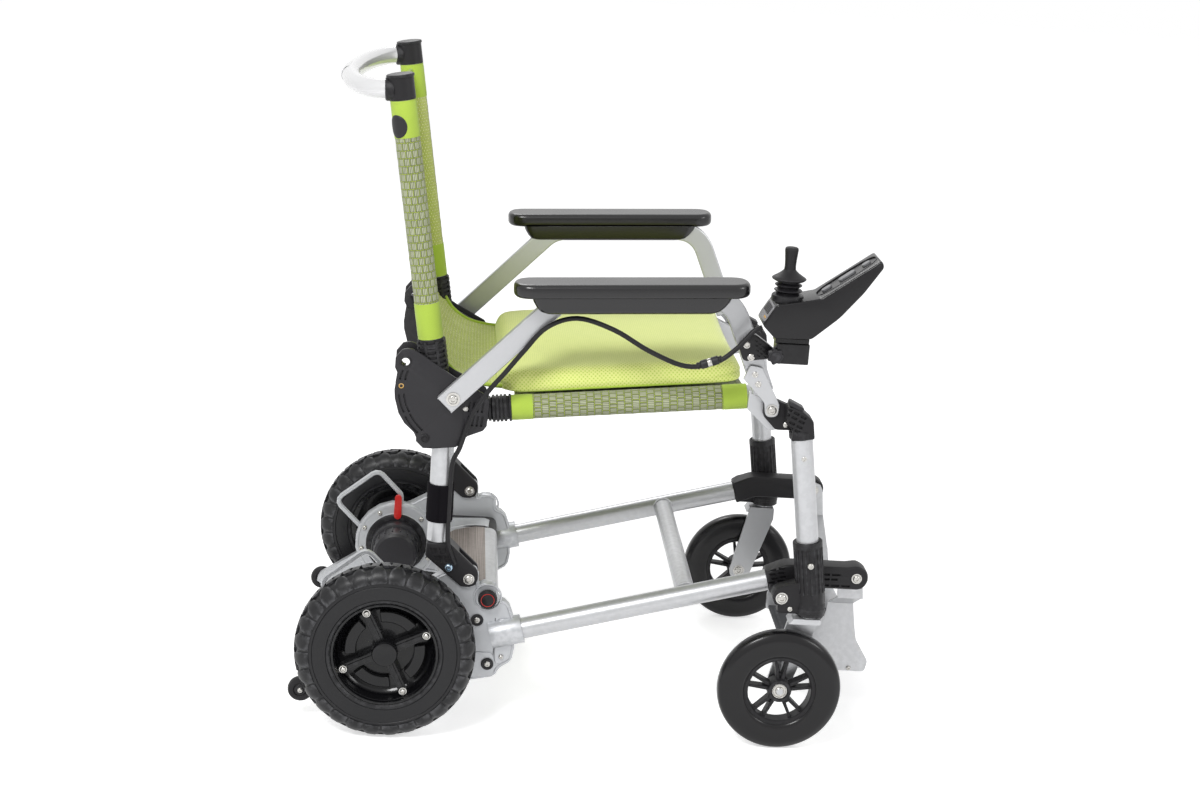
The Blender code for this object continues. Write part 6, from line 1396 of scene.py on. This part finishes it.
def leg_sleeve(name, side):
    """Fluted sleeve at the leg's foot, its screw, and the collar and clamp of the caster's stem."""
    y = side * FRONT_LEG_Y
    carry_over("leg_sleeve_" + name, "leg_" + name, BLACK, None, 0.0006)
    low = Vector((stem_x(0.224), y, 0.224))
    high = Vector((stem_x(0.308), y, 0.308))
    run = (high - low).normalized()
    bm = bmesh.new()
    length = (high - low).length
    turn = Matrix.Translation(low) @ frame_along(run)
    ribs_round(bm, turn, 20, mm((18.5, -1.5), (20.6, -0.9), (20.6, 0.9), (18.5, 1.5)), 0.01, length - 0.008)
    lathe(bm, [(length - 0.0085, 0.0188), (length - 0.008, 0.0208), (length - 0.001, 0.0208), (length, 0.02),
        (length, 0.0158), (length - 0.0085, 0.0158)], low, run, 48, True)
    lathe(bm, mm((0.5, 20), (1.2, 21.2), (6.5, 21.2), (7.2, 20), (7.2, 15), (0.5, 15)), (STEM_X, y, 0.2055),
        (0, 0, 1), 48, True)
    finish("leg_sleeve_flutes_" + name, bm, "leg_" + name, BLACK)
    heads = bmesh.new()
    screw(heads, (stem_x(0.277), y + side * 0.0198, 0.277), (0, side, 0), 0.0046, 0.0026)
    screw(heads, at(LEG_JOINT, side * 0.2621), (0, side, 0), 0.0066, 0.0034, 0.45, 0.0086)
    screw(heads, (0.56, y + side * 0.0102, 0.2095), (0, side, 0), 0.004, 0.0026)
    finish("leg_sleeve_screws_" + name, heads, "leg_" + name, BRIGHT)


def front_arm(name, side):
    """Moulding at the front of the lower tube, with rows of short slots on both sides of the leg."""
    piece = carry_over("front_arm_" + name, "chair", BLACK, None, 0.0008)
    cutters = bmesh.new()
    pockets(cutters, side, [(0.538 + 0.012 * k + (0.003 if row == 1 else 0), 0.233 + 0.0062 * row + 0.0028 * k)
        for row in range(4) for k in range(2)], 0.0092, 0.0032, 6, 0.219, 0.226)
    pockets(cutters, side, [(0.613 + 0.015 * k, 0.233) for k in range(3)], 0.0125, 0.0032, 0, 0.219, 0.226)
    carve(piece, cutters)
    bars = bmesh.new()
    for k in range(4):
        made = side_prism(bars, [(0.604 + 0.015 * k, 0.2395), (0.6065 + 0.015 * k, 0.2395),
            (0.6065 + 0.015 * k, 0.2515), (0.604 + 0.015 * k, 0.2515)], side, 0.218, 0.2219)
        soften(bars, made, 0.0004, 1)
    finish("front_arm_bars_" + name, bars, "chair", BLACK)
    heads = bmesh.new()
    screw(heads, (0.6576, side * 0.2221, 0.245), (0, side, 0), 0.0056, 0.0032, 0.45, 0.0074)
    finish("front_arm_screw_" + name, heads, "chair", BRIGHT)


def footrest_plate(name, side):
    """Side plate of the footrest with the screws that hold it."""
    carry_over("footrest_plate_" + name, "footrest", SILVER, None, 0.0, 0.05)
    heads = bmesh.new()
    for x in (0.612, 0.68):
        screw(heads, (x, side * 0.1229, 0.07), (0, side, 0), 0.0036, 0.0024)
    screw(heads, (0.6576, side * 0.1852, 0.245), (0, -side, 0), 0.006, 0.003, 0.45, 0.0078)
    finish("footrest_screws_" + name, heads, "footrest", BRIGHT)


def leg_strap():
    """Hook strap round the near rear leg, holding the cable."""
    bm = bmesh.new()
    lathe(bm, mm((0, 15.9), (0, 18), (0.8, 18.7), (18, 19), (36, 18.6), (53, 18.8), (53.8, 18), (53.8, 15.9)),
        (LEG_X, -FRAME_Y, 0.296), (0, 0, 1), 48, True)

    def flap(u, w, raised):
        angle = radians(-62 + 30 * u)
        r = 0.0206 if raised else 0.0184
        return Vector((LEG_X + r * cos(angle), -FRAME_Y + r * sin(angle), 0.3229 + 0.0262 * w))

    relief(bm, flap, 8, 6)
    finish("leg_strap", bm, "rear_frame", STRAP)


# Controller

def controller():
    """Joystick housing with its gauge, its key panel, the clamp block, the slotted bracket and the clamp knob."""
    y = -0.257
    bm = bmesh.new()
    outline = rounded(mm((481.5, 619, 5), (499, 602, 6), (548.5, 603, 14), (584, 634.5, 90), (613, 670, 90),
        (637, 707, 8), (633, 716.5, 4), (556, 660, 12), (535, 655, 6), (498.5, 648, 5)), 7)
    made = prism(bm, outline, y - 0.031, y + 0.031)
    soften(bm, made, 0.005, 4, 50)
    body = finish("controller_case", bm, "armrest_right", HOUSING, 40)
    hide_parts("controller_housing")
    low, high = Vector((0.556, 0.66)), Vector((0.633, 0.7165))
    run = (high - low).normalized()
    turn = Matrix.Translation(at(low, y)) @ Matrix.Rotation(-atan2(run[1], run[0]), 4, "Y")
    round_way = [(cos(2 * pi * k / 48), sin(2 * pi * k / 48)) for k in range(48)]
    oval = [(0.045 + 0.047 * copysign(abs(c) ** 0.7, c), 0.0195 * copysign(abs(s) ** 0.7, s)) for c, s in round_way]
    cutters = bmesh.new()
    plate(cutters, turn, oval, -0.001, 0.006)
    carve(body, cutters)
    bm = bmesh.new()
    made = block(bm, (0.518, y - 0.013, 0.595), (0.547, y + 0.013, 0.608))
    made += block(bm, (0.505, y - 0.016, 0.564), (0.55, y + 0.016, 0.5925))
    made += block(bm, (0.503, y - 0.014, 0.5915), (0.549, y + 0.014, 0.6))
    soften(bm, made, 0.0016, 3)
    finish("controller_clamp", bm, "armrest_right", HOUSING, 40)
    bm = bmesh.new()
    made = side_prism(bm, rounded(mm((456, 582, 8), (464, 560, 8), (496, 565, 10), (506, 566, 0), (506, 578, 0),
        (496, 586, 8), (475, 600, 8)), 5), -1, 0.2403, 0.2552)
    soften(bm, made, 0.0014, 3, 50)
    bracket = finish("controller_bracket", bm, "armrest_right", HOUSING, 40)
    cutters = bmesh.new()
    pockets(cutters, -1, mm((479, 590), (484.3, 586.1), (489.6, 582.2), (480, 583.8), (485.3, 579.9), (490.6, 576),
        (482, 576.8), (487.3, 572.9), (492.6, 569), (484, 569.8)), 0.005, 0.0024, -36, 0.2526, 0.258)
    carve(bracket, cutters)
    panel = bmesh.new()
    sweep(panel, [turn @ Vector((px, py, 0.0)) for px, py in oval + oval[:1]], 0.0008, 8)
    finish("key_panel_rim", panel, "armrest_right", PLATE_BLACK)
    a, b = Vector((0.4815, 0.619)), Vector((0.4985, 0.648))
    way = (b - a).normalized()
    rear = Matrix.Translation(at(a, y)) @ Matrix.Rotation(-atan2(way[1], way[0]), 4, "Y")
    gauge = bmesh.new()
    made = plate(gauge, rear, rounded_oblong(0.0045, 0.03, 0.0262, 0.005, 4), -0.003, 0.0012)
    soften(gauge, made, 0.0006, 2, 50)
    finish("battery_gauge", gauge, "armrest_right", PANEL_GREY)
    bars = bmesh.new()
    for k in range(5):
        plate(bars, rear, [(0.0145, -0.019 + k * 0.008), (0.027, -0.019 + k * 0.008), (0.027, -0.015 + k * 0.008),
            (0.0145, -0.015 + k * 0.008)], 0.0008, 0.0018)
    finish("battery_gauge_bars", bars, "armrest_right", PLATE_BLACK)
    lamp = bmesh.new()
    for shift in (-0.019, -0.011):
        lathe(lamp, mm((0, 0), (0, 1.8), (0.6, 1.6), (1, 0)), rear @ Vector((0.0095, shift, 0.001)),
            rear.to_3x3() @ Vector((0, 0, 1)), 20)
    finish("battery_gauge_lamps", lamp, "armrest_right", AMBER)
    knob = bmesh.new()
    outline = []
    for k in range(84):
        angle = 2 * pi * k / 84
        r = 0.0104 + 0.0011 * cos(7 * angle)
        outline.append((r * cos(angle), r * sin(angle)))
    made = plate(knob, on_side(*CLAMP_KNOB), outline, 0.0, 0.011)
    soften(knob, made, 0.0014, 3, 50)
    lathe(knob, mm((10.5, 0), (10.5, 6.8), (11.8, 6.4), (11.8, 0)), CLAMP_KNOB, (0, -1, 0), 32)
    lathe(knob, mm((-12, 0), (-12, 5), (0.2, 5), (0.2, 0)), CLAMP_KNOB, (0, -1, 0), 24)
    finish("controller_clamp_knob", knob, "armrest_right", PLATE_BLACK)
    heads = bmesh.new()
    for place in ((0.4668, 0.5835), (0.474, 0.5665)):
        lathe(heads, mm((0, 0), (0, 5), (1, 4.8), (1.7, 3.6), (1.2, 2.4), (0.4, 2.2), (0.4, 0)), at(place, -0.2552),
            (0, -1, 0), 28)
    finish("controller_bracket_rivets", heads, "armrest_right", BRIGHT)


def keys():
    """The three keys on the sloping panel."""
    for node, body in (("power_button", "power_key"), ("speed_rocker", "speed_key"), ("horn_button", "horn_key")):
        carry_over(node, body, KEY_GREY, None, 0.0005)


def joystick():
    """Collar on the housing, a bellows of two folds, and the knob with its wide skirt."""
    base = Vector((0.5155, -0.257, 0.6445))
    bm = bmesh.new()
    lathe(bm, mm((4, 16), (4, 21.8), (9, 22), (11.8, 21.4), (13, 20), (13, 16)), base, (0, 0, 1), 64, True)
    finish("joystick_collar", bm, "armrest_right", BOOT)
    bm = bmesh.new()
    lathe(bm, mm((8.5, 11), (8.5, 15), (12, 15.2), (15, 14.8), (16.5, 16.2), (17.6, 18.4), (18.6, 19.2), (19.6, 18.4),
        (20.6, 16), (22, 14.2), (23.6, 15.8), (24.8, 17.8), (25.8, 18.6), (26.8, 17.8), (28, 15), (29.6, 13.6),
        (31.6, 14), (31.6, 11)), base, (0, 0, 1), 64, True)
    piece = finish("joystick_bellows", bm, None, BOOT, 60)
    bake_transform(piece)
    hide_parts("joystick_boot")
    bm = bmesh.new()
    lathe(bm, mm((0, 0), (0, 2.4), (30, 2.6), (31, 12), (31.8, 20), (33.4, 22.6), (34.6, 23.4), (35.6, 22.8),
        (38, 19), (42, 13), (45.2, 9.4), (47, 8), (52, 7.6), (60, 8), (68, 8.7), (73.5, 9.2), (76, 8.8), (77, 7.4),
        (77.2, 4), (77.2, 0)), base, (0, 0, 1), 64)
    piece = finish("joystick_knob", bm, "stick", BLACK)
    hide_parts("joystick")


def controller_cable():
    """One cable from the controller, under the pad and down the rear leg, with its pair of plugs."""
    route = mm((483.4, -268, 612), (472, -270, 606), (452, -271, 582), (425, -271, 561), (385, -270, 553),
        (335, -267, 570), (285, -264, 596), (235, -257, 607.5), (195, -248, 590), (166, -244.4, 554),
        (143, -244.2, 523), (122, -244.2, 496), (106, -244, 470), (98.5, -234.5, 448), (93, -228.1, 428),
        (87.5, -226.8, 408), (79, -218.6, 383), (77.7, -217.3, 340), (77.7, -217.8, 298), (79, -222, 268),
        (85, -222, 249), (90, -222, 238))
    path = smooth_route(route, 6)
    bm = bmesh.new()
    sweep(bm, path, 0.0034, 14)
    cable = finish("controller_cable", bm, None, BLACK, 60)
    length = sum((b - a).length for a, b in zip(path, path[1:]))
    plugs = bmesh.new()
    start, end = Vector((0.433, -0.271, 0.5665)), Vector((0.4, -0.2705, 0.554))
    run = (end - start).normalized()
    reach = (end - start).length
    for base, way in ((start, run), (end, -run)):
        lathe(plugs, [(0, 0.0034), (0, 0.0044), (0.002, 0.005), (0.0026, 0.0044), (0.0046, 0.0044), (0.0052, 0.0052),
            (0.006, 0.006), (reach / 2 - 0.0036, 0.0061), (reach / 2 - 0.003, 0.0056), (reach / 2 - 0.003, 0.0034)],
            base, way, 28, True)
    boots = finish("controller_cable_plugs", plugs, "armrest_right", BLACK)
    ring = bmesh.new()
    middle = start + run * (reach / 2 - 0.003)
    lathe(ring, mm((0, 3.6), (0, 5.4), (0.6, 5.7), (5.4, 5.7), (6, 5.4), (6, 3.6)), middle, run, 28, True)
    collar = finish("controller_cable_collar", ring, "armrest_right", BRIGHT)
    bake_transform(cable)
    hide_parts("arm_cable", "leg_cable")


# Stage

def seen_directly(tree):
    """One for rays from the camera, from gloss and through glass, nothing for the light that falls on the chair."""
    path = tree.nodes.new("ShaderNodeLightPath").outputs
    both = math_node(tree, "MAXIMUM", path["Is Camera Ray"], path["Is Glossy Ray"])
    return math_node(tree, "MAXIMUM", both, path["Is Transmission Ray"])


def stage():
    """White floor that keeps a soft shadow, white surroundings and three large soft lights."""
    bm = bmesh.new()
    bmesh.ops.create_grid(bm, x_segments=1, y_segments=1, size=12.0)
    bmesh.ops.translate(bm, vec=(0, 0, -0.0004), verts=bm.verts[:])
    floor = put("floor", bm)
    material, tree, shader = new_material("white floor", 0.0, {"Base Color": (0.88, 0.88, 0.885, 1), "Roughness": 0.9,
        "Specular IOR Level": 0.1})
    glow = add(tree, "ShaderNodeEmission", {"Color": (1, 1, 1, 1), "Strength": math_node(tree, "MULTIPLY",
        seen_directly(tree), 0.58)})
    both = add(tree, "ShaderNodeAddShader", {0: shader.outputs[0], 1: glow.outputs[0]})
    tree.links.new(both.outputs[0], tree.nodes["Material Output"].inputs["Surface"])
    floor.data.materials.append(material)
    world = bpy.data.worlds.new("white surroundings")
    bpy.context.scene.world = world
    world.use_nodes = True
    tree = world.node_tree
    tree.nodes["Background"].inputs["Color"].default_value = (1, 1, 1, 1)
    level = add(tree, "ShaderNodeMapRange", {0: seen_directly(tree), 3: 0.46, 4: 1.0})
    tree.links.new(level.outputs[0], tree.nodes["Background"].inputs["Strength"])
    for name, place, power, size in (("key light", (-1.4, -2.6, 3.0), 84, 1.1),
            ("fill light", (2.4, -1.6, 1.8), 17, 0.9), ("rim light", (-0.6, 2.6, 2.6), 18, 1.0)):
        lamp = bpy.data.lights.new(name, "AREA")
        lamp.energy, lamp.size, lamp.shape = power, size, "DISK"
        light = put(name, lamp)
        light.location = place
        light.rotation_euler = (Vector((0, 0, 0.4)) - Vector(place)).to_track_quat("-Z", "Y").to_euler()


def camera():
    """Camera at the photograph's place, turned a little about its own line of sight."""
    yaw, pitch, roll = (radians(a) for a in (4.25, 15.18, 4.2))
    forward = Vector((sin(yaw) * cos(pitch), cos(yaw) * cos(pitch), -sin(pitch)))
    right = Vector((cos(yaw), -sin(yaw), 0))
    up = right.cross(forward)
    across = right * cos(roll) + up * sin(roll)
    above = up * cos(roll) - right * sin(roll)
    turn = Matrix((across, above, -forward)).transposed().to_4x4()
    data = bpy.data.cameras.new("camera")
    data.lens, data.sensor_width = 65.523, 36.0
    eye = put("camera", data)
    eye.matrix_world = Matrix.Translation((-0.2243, -3.1075, 1.2714)) @ turn
    bpy.context.scene.camera = eye


camera()
controller_cable()
stage()
base_tubes()
push_handle()
battery()
for name, side in SIDES.items():
    for build in (upright_tubes, post_cap, sleeves, drive_tyre, drive_rim, caster_wheel, caster_fork, tip_roller,
            cast_plate, gear_motor, casting_fittings, lock_knob, release_lever, back_hinge, leg_foot, rail_socket,
            seat_rail, arm_tube, arm_pad, knuckle, leg_sleeve, front_arm, footrest_plate):
        build(name, side)
carry_over("footboard", "footrest", BOARD, None, 0.0006)
back_sling()
seat_sling()
seat_cushion()
leg_strap()
controller()
keys()
joystick()

bpy.context.scene.view_settings.view_transform = "Standard"
